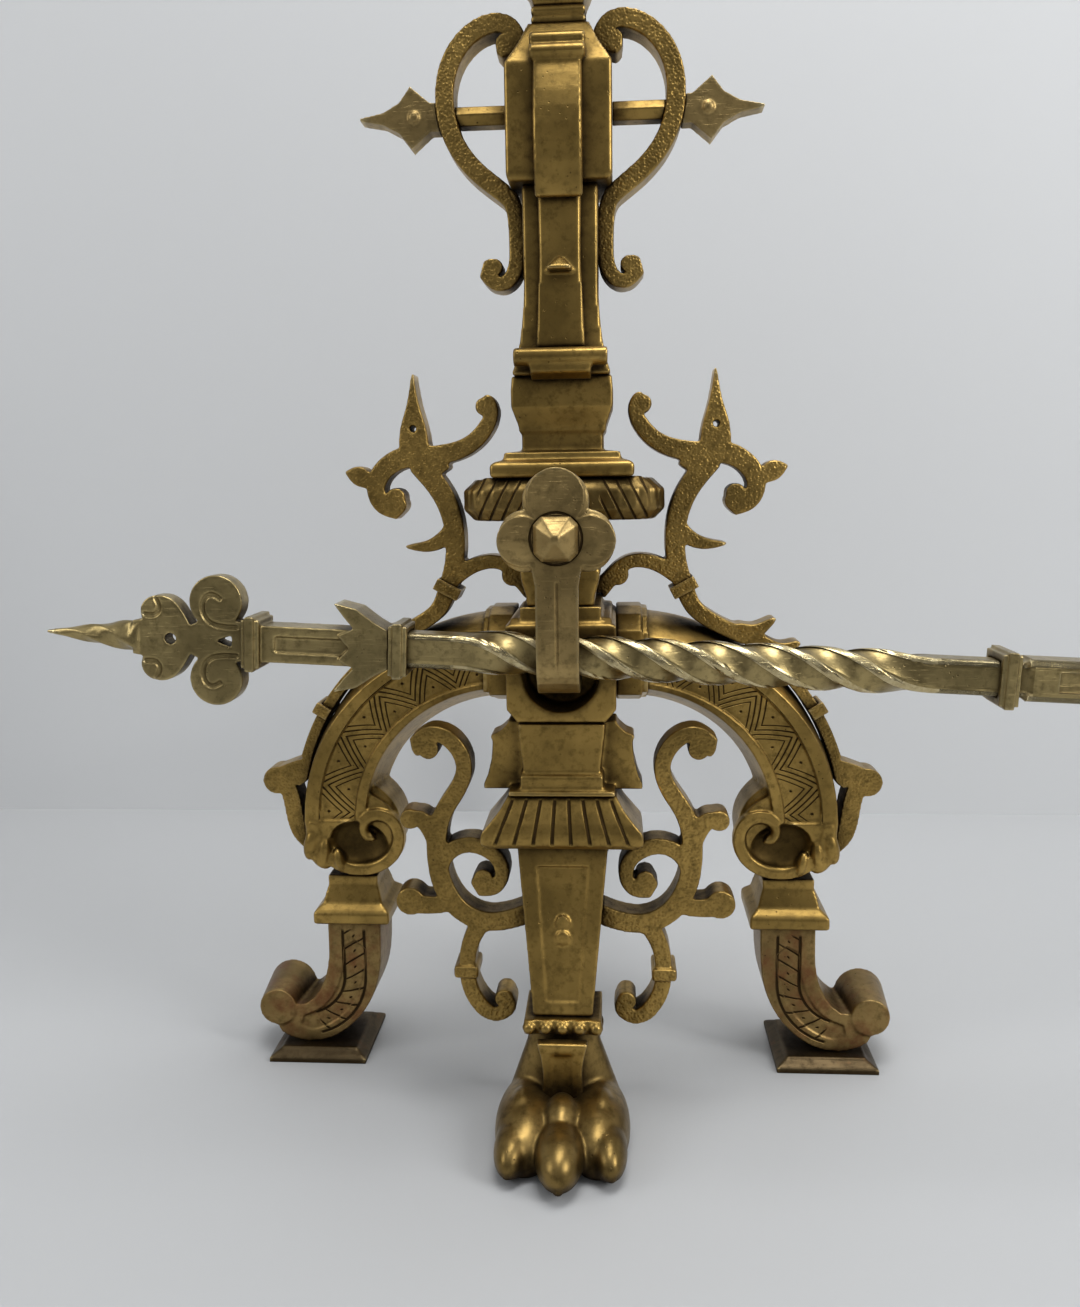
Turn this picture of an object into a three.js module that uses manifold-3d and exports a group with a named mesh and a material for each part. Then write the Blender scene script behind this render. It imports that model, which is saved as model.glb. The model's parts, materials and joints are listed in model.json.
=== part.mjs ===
// A large brass andiron: a moulded column on a lion-paw front leg and two arched side legs,
// with cast scroll ornament and a twisted crossbar lying in a hook on the column's front.
// Millimetres, +Z up, +X to the right, the front faces -Y. The origin is the centre of the
// flat sole of the front paw. Inside this file the column's axis is X = Y = 0 and the floor
// is Z = 0; the last group moves all of it so that the paw's sole is at the origin.

import * as THREE from 'three';
import { mergeVertices } from 'three/addons/utils/BufferGeometryUtils.js';
import Module from 'manifold-3d';

const wasm = await Module();
wasm.setup();

// ---------------------------------------------------------------- driving dimensions

const FIT = 0.3;                // gap left between two pieces that touch

// side legs, from the floor up
const PAD_HALF = 25;            // half of the square sole
const PAD_HEIGHT = 6;
const FOOT_HEIGHT = 66;         // J-shaped foot
const FOOT_STEM = 27;           // width of its upright stem
const KNEE_HEIGHT = 23.4;
const LEG_HALF_DEPTH = 15;
const ARCH_SPRING_X = 30;       // centre of the quarter arch, from the column's axis
const ARCH_OUTER = 103;         // radius of the outer edge, at the back of the arch
const ARCH_DROP = 29;           // arch centre above the knee cap

// the arch's other edges: how far inside the outer edge they lie at its foot and at its top
const ARCH_INNER = [36.5, 44];
const ARCH_FACE_INNER = [32.3, 35];
const FIELD_INNER = [27, 32.5]; // the sunk field between the arch's borders
const FIELD_OUTER = [8.5, 14.5];
const ARCH_FACE_OUTER = [1, 10];
const ARCH_SHOULDER = [0, 3];
const BORDER_RISE = 1.5;
const FIELD_END = 87;           // degrees round the arch, from its foot

// centre block and front leg
const BLOCK_HALF = 24.6;
const BLOCK_HEIGHT = 44;
const BLOCK_FRONT = -58;
const BLOCK_BACK = 20;
const STEP_HALF = 18;
const STEP_RISE = 8;            // slope and step on top of the block
const CONSOLE_HEIGHT = 32;
const SKIRT_HEIGHT = 23.4;
const PAW_HEIGHT = 46;          // top of the ankle
const PAW_HALF = 30.6;
const PAW_FRONT = -136;
const PAW_BACK = -54;
const BEAD_HEIGHT = 7;
const BEAD_COUNT = 5;
const LEG_BACK = -34;           // back of the front leg
const PILASTER_TOP_HALF = 20.7;
const PILASTER_FOOT_HALF = 13.4;

// column, from the block up
const NECK_HEIGHT = 36.5;
const NECK_HALF = 15;
const CUSHION_HEIGHT = 19.5;
const CUSHION_HALF = 48.6;
const CUSHION_HALF_DEPTH = 30;
const CUSHION_LOBES = 28;
const BASE_HEIGHT = 46;
const BASE_HALF = 33;
const SHAFT_HEIGHT = 84;
const SHAFT_HALF = 17;
const HEAD_HEIGHT = 68;
const HEAD_HALF = 23.5;
const COLLAR_HEIGHT = 8;
const COLLAR_HALF = 12;
const CAPITAL_HEIGHT = 44;
const CAPITAL_HALF = 30;
const FINIAL_HEIGHT = 62;
const FINIAL_RADIUS = 17;

// cast scroll ornament
const ORNAMENT_FRONT = -8;
const ORNAMENT_BACK = 6;
const LEG_SCROLL_FRONT = -52;
const LEG_SCROLL_BACK = -38;
const RING_STROKE = 8;
const RIVET_RADIUS = 3.2;

// hook
const STRAP_HALF = 9;
const STRAP_THICK = 6;
const LOBE_RADIUS = 10.4;
const LOBE_OFFSET = 14.4;
const UPPER_LOBE_RADIUS = 12;
const UPPER_LOBE_RISE = 17.2;
const BOLT_HEAD_HALF = 9.4;
const BOLT_SHANK = 5;
const BOLT_ABOVE_BAR = 51.3;
const SPACER_RADIUS = 11;
const RECESS_RADIUS = 17;
const RECESS_DEPTH = 22;
const TAIL_DEPTH = 15;
const HOOK_SWING = 3;           // degrees either way

// crossbar, measured along its own axis from the hook
const BAR_SIDE = 15;
const BAR_CHAMFER = 1.4;        // the corners are worn round
const BAR_DROOP = 3;            // degrees that its right end lies low
const BAR_BELOW_BLOCK_TOP = 11.6;
const TWIST_START = -44.5;
const TWIST_END = 160;
const TWIST_EASE = 24;          // length over which the twist begins and ends
const TWIST_QUARTERS = 8;
const STEPS_PER_QUARTER = 3;
const COLLAR_2 = -69;           // middles of the sleeves
const COLLAR_3 = 187.7;
const SLEEVE_LENGTH = 8;
const SLEEVE_HALF = 12;
const FERRULE_HALF = 8;
const PANEL_START = 198;
const BAR_CENTRE = 272;         // the bar mirrors about this point
const FERRULE_LENGTH = 66.5;
const PALMETTE_LENGTH = 50;
const SPIKE_LENGTH = 44;

// billet bar, which carries the logs behind the column
const BILLET_SIDE = 25;
const BILLET_REACH = 330;
const REAR_FOOT_HALF = 18;
const REAR_FOOT_HEIGHT = 6;

// ---------------------------------------------------------------- heights that follow

const kneeTop = PAD_HEIGHT + FOOT_HEIGHT + KNEE_HEIGHT + 2 * FIT;
const archZ = kneeTop + ARCH_DROP;
const archTop = archZ + ARCH_OUTER;
const blockTop = archTop + 1;
const blockBottom = blockTop - BLOCK_HEIGHT;
const consoleTop = blockBottom - FIT;
const skirtTop = consoleTop - CONSOLE_HEIGHT - FIT;
const skirtBottom = skirtTop - SKIRT_HEIGHT;
const beadBottom = PAW_HEIGHT + FIT;
const pilasterBottom = beadBottom + BEAD_HEIGHT + FIT;
const pilasterTop = skirtBottom - FIT;
const neckBottom = blockTop + STEP_RISE + FIT;
const cushionBottom = neckBottom + NECK_HEIGHT + FIT;
const baseBottom = cushionBottom + CUSHION_HEIGHT + FIT;
const shaftBottom = baseBottom + BASE_HEIGHT + FIT;
const headBottom = shaftBottom + SHAFT_HEIGHT + FIT;
const collarBottom = headBottom + HEAD_HEIGHT + FIT;
const capitalBottom = collarBottom + COLLAR_HEIGHT + FIT;
const finialBottom = capitalBottom + CAPITAL_HEIGHT + FIT;

const barRadius = Math.hypot(BAR_SIDE / 2, BAR_SIDE / 2 - BAR_CHAMFER);
const barY = BLOCK_FRONT - barRadius - 0.6;
const barZ = blockTop - BAR_BELOW_BLOCK_TOP;
const loopInner = barRadius + 0.6;
const strapBack = barY - loopInner;
const strapFront = strapBack - STRAP_THICK;
const boltZ = barZ + BOLT_ABOVE_BAR;
const footX = ARCH_SPRING_X + ARCH_OUTER - ARCH_INNER[0] / 2 - 5.8;
const padX = footX + 19.4;

// ---------------------------------------------------------------- solids

// Turns a closed geometry into a solid, with its faces pointing out.
function solid(geometry) {
  const bare = new THREE.BufferGeometry();
  bare.setAttribute('position', geometry.getAttribute('position').clone());
  if (geometry.index) bare.setIndex(geometry.index.clone());
  const merged = mergeVertices(bare, 1e-4);
  const points = merged.getAttribute('position').array;
  const corners = [];
  let volume = 0;
  for (let i = 0; i < merged.index.count; i += 3) {
    const [a, b, c] = [0, 1, 2].map((k) => merged.index.getX(i + k));
    if (a === b || b === c || c === a) continue;
    corners.push(a, b, c);
    const [p, q, r] = [a, b, c].map((k) => new THREE.Vector3().fromArray(points, 3 * k));
    volume += p.dot(q.cross(r));
  }
  if (volume < 0) corners.reverse();
  const mesh = new wasm.Mesh({
    numProp: 3,
    vertProperties: new Float32Array(points),
    triVerts: new Uint32Array(corners),
  });
  return new wasm.Manifold(mesh);
}

function geometryOf(body) {
  const mesh = body.getMesh();
  const geometry = new THREE.BufferGeometry();
  geometry.setAttribute('position', new THREE.BufferAttribute(mesh.vertProperties.slice(), 3));
  geometry.setIndex(new THREE.BufferAttribute(mesh.triVerts.slice(), 1));
  return geometry;
}

const join = (...bodies) => bodies.reduce((all, next) => all.add(next));
const cut = (body, ...tools) => tools.reduce((rest, tool) => rest.subtract(tool), body);

function box(x0, x1, y0, y1, z0, z1) {
  const geometry = new THREE.BoxGeometry(x1 - x0, y1 - y0, z1 - z0);
  return solid(geometry.translate((x0 + x1) / 2, (y0 + y1) / 2, (z0 + z1) / 2));
}

// A drawing in X and Z, given its thickness from front to back.
function plate(shape, front, back, curveSegments = 10) {
  const geometry = new THREE.ExtrudeGeometry(shape, {
    depth: back - front,
    bevelEnabled: false,
    curveSegments,
  });
  return solid(geometry.rotateX(Math.PI / 2).translate(0, back, 0));
}

// A drawing in Y and Z, given its width across X.
function sideProfile(points, half) {
  const shape = new THREE.Shape(points.map(([y, z]) => new THREE.Vector2(y, z)));
  const geometry = new THREE.ExtrudeGeometry(shape, { depth: 2 * half, bevelEnabled: false });
  geometry.rotateX(Math.PI / 2).rotateZ(Math.PI / 2);
  return solid(geometry.translate(-half, 0, 0));
}

// A square moulding: its half width at each height, like a turning with four flat sides.
function moulding(profile, depthRatio = 1) {
  const top = profile.length - 1;
  const points = profile.map(([half, z]) => new THREE.Vector2(half * Math.SQRT2, z));
  points.unshift(new THREE.Vector2(0, profile[0][1]));
  points.push(new THREE.Vector2(0, profile[top][1]));
  const geometry = new THREE.LatheGeometry(points, 4, Math.PI / 4);
  return solid(geometry.rotateX(Math.PI / 2).scale(1, depthRatio, 1));
}

// A round turning from radius and height pairs, which start and end on the axis.
function turning(profile, segments = 16) {
  const points = profile.map(([radius, z]) => new THREE.Vector2(radius, z));
  const geometry = new THREE.LatheGeometry(points, segments);
  return solid(geometry.rotateX(Math.PI / 2));
}

// A round pin along Y at (x, z), which may taper.
function pin(x, z, radius, front, back, segments = 16, backRadius = radius) {
  const geometry = new THREE.CylinderGeometry(backRadius, radius, back - front, segments);
  return solid(geometry.translate(x, (front + back) / 2, z));
}

// A skin over a stack of rings with equally many points, closed by a fan at each end.
function loft(rings) {
  const count = rings[0].length;
  const points = rings.flat();
  const faces = [];
  for (let r = 0; r + 1 < rings.length; r += 1) {
    for (let i = 0; i < count; i += 1) {
      const a = r * count + i;
      const b = r * count + ((i + 1) % count);
      faces.push(a, b, b + count, a, b + count, a + count);
    }
  }
  for (const [r, flip] of [[0, true], [rings.length - 1, false]]) {
    const middle = rings[r].reduce((sum, p) => sum.add(p), new THREE.Vector3());
    points.push(middle.divideScalar(count));
    for (let i = 0; i < count; i += 1) {
      const a = r * count + i;
      const b = r * count + ((i + 1) % count);
      faces.push(points.length - 1, ...(flip ? [b, a] : [a, b]));
    }
  }
  const geometry = new THREE.BufferGeometry().setFromPoints(points);
  return solid(geometry.setIndex(faces));
}

// The same piece on the other side of the column.
function mirrored(geometry) {
  const copy = geometry.clone().scale(-1, 1, 1);
  copy.setIndex([...copy.index.array].reverse());
  return copy;
}

// ---------------------------------------------------------------- strokes

const STROKE_STEP = 5.8;         // length of one straight piece of a curved stroke

// The outline of a stroke along a smooth line, with round ends. Each entry is [x, z, width].
function stroke(stations, grow = 0, step = STROKE_STEP) {
  const line = new THREE.SplineCurve(stations.map(([x, z]) => new THREE.Vector2(x, z)));
  const steps = Math.ceil(line.getLength() / step);
  const left = [];
  const right = [];
  for (let i = 0; i <= steps; i += 1) {
    const t = line.getUtoTmapping(i / steps);
    const place = t * (stations.length - 1);
    const before = Math.min(Math.floor(place), stations.length - 2);
    const [w0, w1] = [stations[before][2], stations[before + 1][2]];
    const half = (w0 + (w1 - w0) * (place - before)) / 2 + grow;
    const centre = line.getPoint(t);
    const ahead = line.getTangent(t);
    const side = new THREE.Vector2(-ahead.y, ahead.x).multiplyScalar(half);
    if (i === 0) left.push(centre.clone().addScaledVector(ahead, -0.7 * half));
    left.push(centre.clone().add(side));
    right.push(centre.clone().sub(side));
    if (i === steps) left.push(centre.clone().addScaledVector(ahead, 0.7 * half));
  }
  return new THREE.Shape([...left, ...right.reverse()]);
}

function disc(x, z, radius) {
  const shape = new THREE.Shape();
  shape.absarc(x, z, radius, 0, 2 * Math.PI);
  return shape;
}

const outline = (points) => new THREE.Shape(points.map(([x, z]) => new THREE.Vector2(x, z)));

// Joins several outlines into one cast plate.
function casting(shapes, front, back, curveSegments = 6) {
  return join(...shapes.map((shape) => plate(shape, front, back, curveSegments)));
}

// ---------------------------------------------------------------- side legs

const archPoint = (degrees, radius) => {
  const angle = THREE.MathUtils.degToRad(degrees);
  return [ARCH_SPRING_X + radius * Math.cos(angle), archZ + radius * Math.sin(angle)];
};

// The same on an edge that lies inside the outer one, with what is added to its half widths.
const edgePoint = (degrees, [atFoot, atTop], grow = 0) => {
  const angle = THREE.MathUtils.degToRad(degrees);
  return [
    ARCH_SPRING_X + (ARCH_OUTER - atFoot + grow) * Math.cos(angle),
    archZ + (ARCH_OUTER - atTop + grow) * Math.sin(angle),
  ];
};

const ARCH_STEP = 6;             // degrees between two slices of the arch
const FIELD_START = 0.3;         // degrees over which the field sinks at either end

// A slice through the arch. It widens towards the back, and its front face has a sunk field.
function archSection(degrees, grow = 0) {
  const [face, back] = [-LEG_HALF_DEPTH - grow, LEG_HALF_DEPTH + grow];
  const sunk = grow === 0 && degrees > 0 && degrees < FIELD_END ? face + BORDER_RISE : face;
  const outermost = [0, 0];
  const corners = [
    [ARCH_INNER, -grow, back], [ARCH_FACE_INNER, -grow, face], [FIELD_INNER, 0, face],
    [FIELD_INNER, 0.4, sunk], [FIELD_OUTER, -0.4, sunk], [FIELD_OUTER, 0, face],
    [ARCH_FACE_OUTER, grow, face], [ARCH_SHOULDER, grow, face + 9],
    [outermost, grow, face + 19], [outermost, grow, back],
  ];
  return corners.map(([edge, more, y]) => {
    const [x, z] = edgePoint(degrees, edge, more);
    return new THREE.Vector3(x, y, z);
  });
}

// The slice at the top of the arch, moved along to where its straight end lies.
const endSection = (x, grow = 0) => {
  return archSection(90, grow).map((point) => point.setX(x));
};

// The quarter arch from below its springing to the block.
function archBody(grow = 0) {
  const angles = [-6, 0, FIELD_START];
  for (let degrees = ARCH_STEP; degrees < FIELD_END; degrees += ARCH_STEP) angles.push(degrees);
  angles.push(FIELD_END - FIELD_START, FIELD_END, 90);
  const rings = angles.map((degrees) => archSection(degrees, grow));
  return loft([...rings, endSection(BLOCK_HALF + FIT - grow, grow)]);
}

// The rolled end of the arch: a stroke that turns under and inwards.
function voluteStroke(width) {
  const edge = ARCH_SPRING_X + ARCH_OUTER;
  return [
    [edge - 5, archZ - 2, width],
    [edge - 8, archZ - 13, width],
    [edge - 15.5, archZ - 21.5, width],
    [edge - 26, archZ - 25.2, width],
    [edge - 38, archZ - 23.5, width],
    [edge - 47, archZ - 16, width],
    [edge - 49, archZ - 5, width],
    [edge - 43, archZ + 3, width],
    [edge - 34, archZ + 3.2, width],
    [edge - 29.5, archZ - 3.5, width - 0.5],
    [edge - 33.5, archZ - 10, width - 1],
  ];
}

function archLeg() {
  const [face, back] = [-LEG_HALF_DEPTH, LEG_HALF_DEPTH];
  const edge = ARCH_SPRING_X + ARCH_OUTER;
  const span = 2 * ARCH_OUTER;
  const below = box(0, span, -span, span, -span, kneeTop);
  const body = join(
    archBody(),
    plate(disc(edge - 27, archZ - 7, 22), face + BORDER_RISE, back, 10),
    plate(disc(edge - 25, archZ - 4.5, 24.5), face + 5, back, 10),
    plate(stroke(voluteStroke(6)), face - 1, face + 5),
  );
  return cut(body, below);
}

// A flat band round the arch beside the block.
function archCollar() {
  const [inner, outer] = [BLOCK_HALF + FIT, BLOCK_HALF + 12];
  const band = join(
    loft([endSection(outer, 2.8), endSection(inner, 2.8)]),
    loft([endSection(outer + 3, 1.6), endSection(inner + 4, 1.6)]),
  );
  return cut(band, archBody(FIT), loft([endSection(outer, FIT), endSection(0, FIT)]));
}

function kneeCap() {
  const bottom = PAD_HEIGHT + FIT + FOOT_HEIGHT + FIT;
  const half = FOOT_STEM / 2;
  const z = (share) => bottom + share * KNEE_HEIGHT;
  const body = moulding([
    [half + 4.2, z(0)], [half + 5.6, z(0.04)], [half + 5.6, z(0.24)], [half + 4.6, z(0.3)],
    [half + 1.4, z(0.42)], [half + 0.2, z(0.62)], [half - 1.2, z(0.8)], [half - 1, z(1)],
  ], 1.08);
  return solid(geometryOf(body).translate(footX, 0, 0));
}

// Centre line of the J-shaped foot: down from the knee and outward to the drum.
function footStations(share) {
  const floor = PAD_HEIGHT + FIT;
  const width = FOOT_STEM * share;
  return [
    [footX, floor + FOOT_HEIGHT + 6, width],
    [footX + 0.2, floor + FOOT_HEIGHT - 14, width],
    [footX + 1.6, floor + FOOT_HEIGHT - 28, width],
    [footX + 6.4, floor + 25.5, width * 0.96],
    [footX + 15.4, floor + 14.8, width * 0.88],
    [footX + 27, floor + 10, width * 0.78],
    [footX + 39, floor + 13.2, width * 0.6],
  ];
}

function sideFoot() {
  const [face, back] = [-LEG_HALF_DEPTH, LEG_HALF_DEPTH];
  const floor = PAD_HEIGHT + FIT;
  const body = join(
    plate(stroke(footStations(1)), face, back),
    pin(footX + 41.6, floor + 19, 9.6, face - 1, back, 18, 12.8),
  );
  const band = stroke(footStations(0.44).slice(1, 6));
  const reach = 4 * FOOT_HEIGHT;
  return cut(
    body,
    plate(band, face - 1, face + 1.2),
    box(0, reach, -reach, reach, floor + FOOT_HEIGHT, reach),
    box(0, reach, -reach, reach, -reach, floor),
  );
}

function footPad() {
  const body = moulding([
    [PAD_HALF, 0], [PAD_HALF, 2.2], [PAD_HALF - 1.6, 3.4], [PAD_HALF - 5, PAD_HEIGHT - 0.8],
    [PAD_HALF - 5.4, PAD_HEIGHT],
  ]);
  return solid(geometryOf(body).translate(padX, 0, 0));
}

// The space that the arch takes, with the fitting gap, for pieces that lie on its outer edge.
function archClearance() {
  const [front, back] = [ORNAMENT_FRONT - 6, ORNAMENT_BACK + 6];
  const edge = ARCH_SPRING_X + ARCH_OUTER;
  const quarter = [archPoint(0, 1)];
  for (let degrees = -ARCH_STEP; degrees <= 90; degrees += ARCH_STEP) {
    quarter.push(archPoint(degrees, ARCH_OUTER + FIT));
  }
  return join(
    archBody(FIT),
    plate(disc(edge - 25, archZ - 4.5, 24.5 + FIT), front, back, 10),
    plate(outline(quarter), front, back),
  );
}

const STRIP_WIDTH = 5.6;
const STRIP_TOP_REACH = 71;      // how far outside the arch's centre the strip begins
const STRIP_END_RISE = 30.1;     // how far above the arch's centre the leaf takes over

// A strip that hugs the arch's outer edge and ends below in a leaf with a rolled tip.
function archLeafStations() {
  const middle = ARCH_OUTER + FIT + STRIP_WIDTH / 2;
  const [highest, lowest] = [Math.acos(STRIP_TOP_REACH / middle), Math.asin(STRIP_END_RISE / ARCH_OUTER)];
  return [0, 0.25, 0.5, 0.75, 1].map((share) => {
    const angle = THREE.MathUtils.radToDeg(THREE.MathUtils.lerp(highest, lowest, share));
    return [...archPoint(angle, middle), STRIP_WIDTH];
  });
}

function archLeaf() {
  const edge = ARCH_SPRING_X + ARCH_OUTER;
  const leaf = stroke([
    [edge - 1, archZ - 17, 3], [edge + 4, archZ - 8, 8.5], [edge + 6, archZ + 2, 9],
    [edge + 7.5, archZ + 12, 9], [edge + 11, archZ + 19, 9],
  ]);
  const roll = disc(edge + 14.4, archZ + 19, 7.2);
  const lip = outline([
    [edge + 3, archZ + 16], [edge + 13, archZ + 26], [edge + 4, archZ + 29.6], [edge - 6, archZ + 31],
    [edge - 4, archZ + 20],
  ]);
  const body = casting([stroke(archLeafStations()), leaf, roll, lip], ORNAMENT_FRONT, ORNAMENT_BACK);
  return cut(body, archClearance());
}

// A small clip that binds a stroke: a flat band round it, open where the stroke passes.
function clipRound(stations, at, heading, across, along, floorCut) {
  const [x, z] = at;
  const half = across / 2;
  const geometry = new THREE.BoxGeometry(along, ORNAMENT_BACK - ORNAMENT_FRONT + 5, 2 * half);
  geometry.rotateY(-heading).translate(x, (ORNAMENT_FRONT + ORNAMENT_BACK) / 2, z);
  const passage = plate(stroke(stations, FIT), ORNAMENT_FRONT - FIT, ORNAMENT_BACK + FIT);
  return cut(solid(geometry), passage, ...floorCut);
}

function archClip() {
  const angle = 31;
  const heading = THREE.MathUtils.degToRad(angle + 90);
  const centre = archPoint(angle, ARCH_OUTER + FIT + STRIP_WIDTH / 2);
  return clipRound(archLeafStations(), centre, heading, STRIP_WIDTH + 5, 6, [archClearance()]);
}

// ---------------------------------------------------------------- centre block, front leg

function frontBlock() {
  const chamfer = 6;
  const face = outline([
    [-BLOCK_HALF, blockTop], [-BLOCK_HALF, blockBottom + chamfer], [-BLOCK_HALF + 5, blockBottom],
    [BLOCK_HALF - 5, blockBottom], [BLOCK_HALF, blockBottom + chamfer], [BLOCK_HALF, blockTop],
  ]);
  const recess = new THREE.Shape();
  recess.absarc(0, blockBottom + 5 + RECESS_RADIUS, RECESS_RADIUS, Math.PI, 2 * Math.PI);
  recess.lineTo(RECESS_RADIUS, barZ + 2);
  recess.lineTo(-RECESS_RADIUS, barZ + 2);
  const shoulder = sideProfile([
    [BLOCK_FRONT, blockTop - 0.01], [BLOCK_FRONT + 6, blockTop + 3], [BLOCK_BACK - 3, blockTop + 3],
    [BLOCK_BACK, blockTop - 0.01],
  ], BLOCK_HALF - 2);
  return join(
    cut(
      plate(face, BLOCK_FRONT, BLOCK_BACK),
      plate(recess, BLOCK_FRONT - 1, BLOCK_FRONT + RECESS_DEPTH, 12),
    ),
    shoulder,
    box(-STEP_HALF, STEP_HALF, BLOCK_FRONT + 3, BLOCK_BACK - 2, blockTop + 2, blockTop + STEP_RISE),
  );
}

// The console under the block: a tapering cartouche in front of a wider body with hollow sides.
function legConsole() {
  const bottom = consoleTop - CONSOLE_HEIGHT;
  const z = (share) => bottom + share * CONSOLE_HEIGHT;
  const side = [
    [24.5, z(1)], [25.5, z(0.93)], [29, z(0.83)], [33, z(0.78)], [32, z(0.7)], [32.5, z(0.45)],
    [34.5, z(0.2)], [36.5, z(0.06)], [36.5, z(0)],
  ];
  const left = side.map(([x, height]) => [-x, height]).reverse();
  const body = plate(outline([...side, ...left]), BLOCK_FRONT + 7, LEG_BACK);
  const cartouche = sideProfile([
    [BLOCK_FRONT + 8, z(1)], [BLOCK_FRONT - 1, z(1)], [BLOCK_FRONT - 2, z(0.3)],
    [BLOCK_FRONT - 4, z(0.28)], [BLOCK_FRONT - 4, z(0.08)], [BLOCK_FRONT - 6, z(0.06)],
    [BLOCK_FRONT - 6, z(0)], [BLOCK_FRONT + 8, z(0)],
  ], BLOCK_HALF);
  const taper = outline([
    [19.7, z(1)], [17.2, z(0.31)], [18.6, z(0.3)], [18.6, z(0.09)], [24, z(0.08)], [24, z(0)],
    [-24, z(0)], [-24, z(0.08)], [-18.6, z(0.09)], [-18.6, z(0.3)], [-17.2, z(0.31)], [-19.7, z(1)],
  ]);
  return join(body, cartouche.intersect(plate(taper, BLOCK_FRONT - 20, BLOCK_FRONT + 20)));
}

// A ring of points round a rectangle, whose edge swells outwards in equal lobes.
function lobedRing(halfX, front, back, z, lobesX, lobesY, swell, shift = 0) {
  const points = [];
  const sides = [
    [lobesX, (t) => [-halfX + 2 * halfX * t, front, 0, -1]],
    [lobesY, (t) => [halfX, front + (back - front) * t, 1, 0]],
    [lobesX, (t) => [halfX - 2 * halfX * t, back, 0, 1]],
    [lobesY, (t) => [-halfX, back - (back - front) * t, -1, 0]],
  ];
  for (const [lobes, edge] of sides) {
    const steps = lobes * 3;
    for (let i = 0; i < steps; i += 1) {
      const [x, y, nx, ny] = edge(i / steps);
      const out = swell * Math.abs(Math.sin((Math.PI * (i + shift)) / 3));
      points.push(new THREE.Vector3(x + nx * out, y + ny * out, z));
    }
  }
  return points;
}

// The flaring skirt with hollow flutes under the console, and the fillet below it.
function skirt() {
  const [front, back] = [BLOCK_FRONT - 7, LEG_BACK];
  const flare = (share) => 25 + 12 * share ** 1.3;
  const ringAt = (share, swell) => {
    const z = skirtTop - 1 - share * (SKIRT_HEIGHT - 9);
    const half = flare(share);
    return lobedRing(half - swell, front - 4 * share + swell, back, z, 8, 3, swell);
  };
  const flutes = loft([ringAt(1, 0.5), ringAt(0.8, 1.6), ringAt(0.08, 0.8)]);
  const fillet = box(-26, 26, BLOCK_FRONT - 3, back, skirtBottom, skirtBottom + 4.6);
  const neck = box(-24, 24, BLOCK_FRONT - 1, back, skirtBottom + 4, skirtBottom + 9);
  const cap = box(-25.5, 25.5, front + 1, back, skirtTop - 2.4, skirtTop);
  return join(flutes, neck, fillet, cap);
}

const PILASTER_TOP_FRONT = BLOCK_FRONT - 2;
const PILASTER_FOOT_FRONT = -75;

// A box whose top and bottom differ: half width and front at each end, one back.
function taperedPost(z0, half0, front0, z1, half1, front1, back) {
  const ring = (z, half, front) => [
    new THREE.Vector3(-half, front, z), new THREE.Vector3(half, front, z),
    new THREE.Vector3(half, back, z), new THREE.Vector3(-half, back, z),
  ];
  return loft([ring(z0, half0, front0), ring(z1, half1, front1)]);
}

function pilasterPost(grow) {
  return taperedPost(
    pilasterBottom, PILASTER_FOOT_HALF + grow, PILASTER_FOOT_FRONT - grow,
    pilasterTop, PILASTER_TOP_HALF + grow, PILASTER_TOP_FRONT - grow, LEG_BACK,
  );
}

function legPilaster() {
  const height = pilasterTop - pilasterBottom;
  const inset = 5.6;
  const panel = taperedPost(
    pilasterBottom + 6, PILASTER_FOOT_HALF - inset, PILASTER_FOOT_FRONT - 9,
    pilasterTop - 9, PILASTER_TOP_HALF - inset - 3, PILASTER_TOP_FRONT - 9, PILASTER_TOP_FRONT + 1,
  );
  // the panel's floor lies one millimetre under the frame, which leans with the leg
  const lean = (PILASTER_TOP_FRONT - PILASTER_FOOT_FRONT) / height;
  const floorAt = (z) => PILASTER_FOOT_FRONT + lean * (z - pilasterBottom) + 1.2;
  const behind = sideProfile([
    [floorAt(pilasterBottom), pilasterBottom], [floorAt(pilasterTop), pilasterTop],
    [0, pilasterTop], [0, pilasterBottom],
  ], 2 * PILASTER_TOP_HALF);
  const middle = pilasterBottom + 0.55 * height;
  const rivet = (z) => pin(0, z, RIVET_RADIUS, floorAt(z) - 1.6, floorAt(z) + 3, 8);
  return join(cut(pilasterPost(0), cut(panel, behind)), rivet(middle), rivet(middle - 6.8));
}

// A row of small beads on a bar.
function beadStrip() {
  const half = 18.4;
  const front = PILASTER_FOOT_FRONT - 3;
  const radius = BEAD_HEIGHT / 2 - 0.1;
  const z = beadBottom + BEAD_HEIGHT / 2;
  const beads = [];
  for (let i = 0; i < BEAD_COUNT; i += 1) {
    const x = ((i - (BEAD_COUNT - 1) / 2) * 2 * (half - radius)) / (BEAD_COUNT - 1);
    beads.push(solid(new THREE.SphereGeometry(radius, 8, 4).translate(x, front, z)));
  }
  return join(box(-17.4, 17.4, front, LEG_BACK - 14, beadBottom, beadBottom + BEAD_HEIGHT), ...beads);
}

// The small waisted plate on the front of the ankle, with a sunk panel.
function pawBracket() {
  const top = PAW_HEIGHT - 0.6;
  const bottom = 15;
  const shape = new THREE.Shape();
  shape.moveTo(-11.4, top);
  shape.quadraticCurveTo(-6.4, (top + bottom) / 2, -10.6, bottom);
  shape.lineTo(10.6, bottom);
  shape.quadraticCurveTo(6.4, (top + bottom) / 2, 11.4, top);
  const front = bracketFront();
  const body = plate(shape, front, front + 6, 6);
  return cut(body, box(-4.4, 4.4, front - 1, front + 1.2, bottom + 4, top - 5));
}

const bracketFront = () => PILASTER_FOOT_FRONT - 10;

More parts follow.
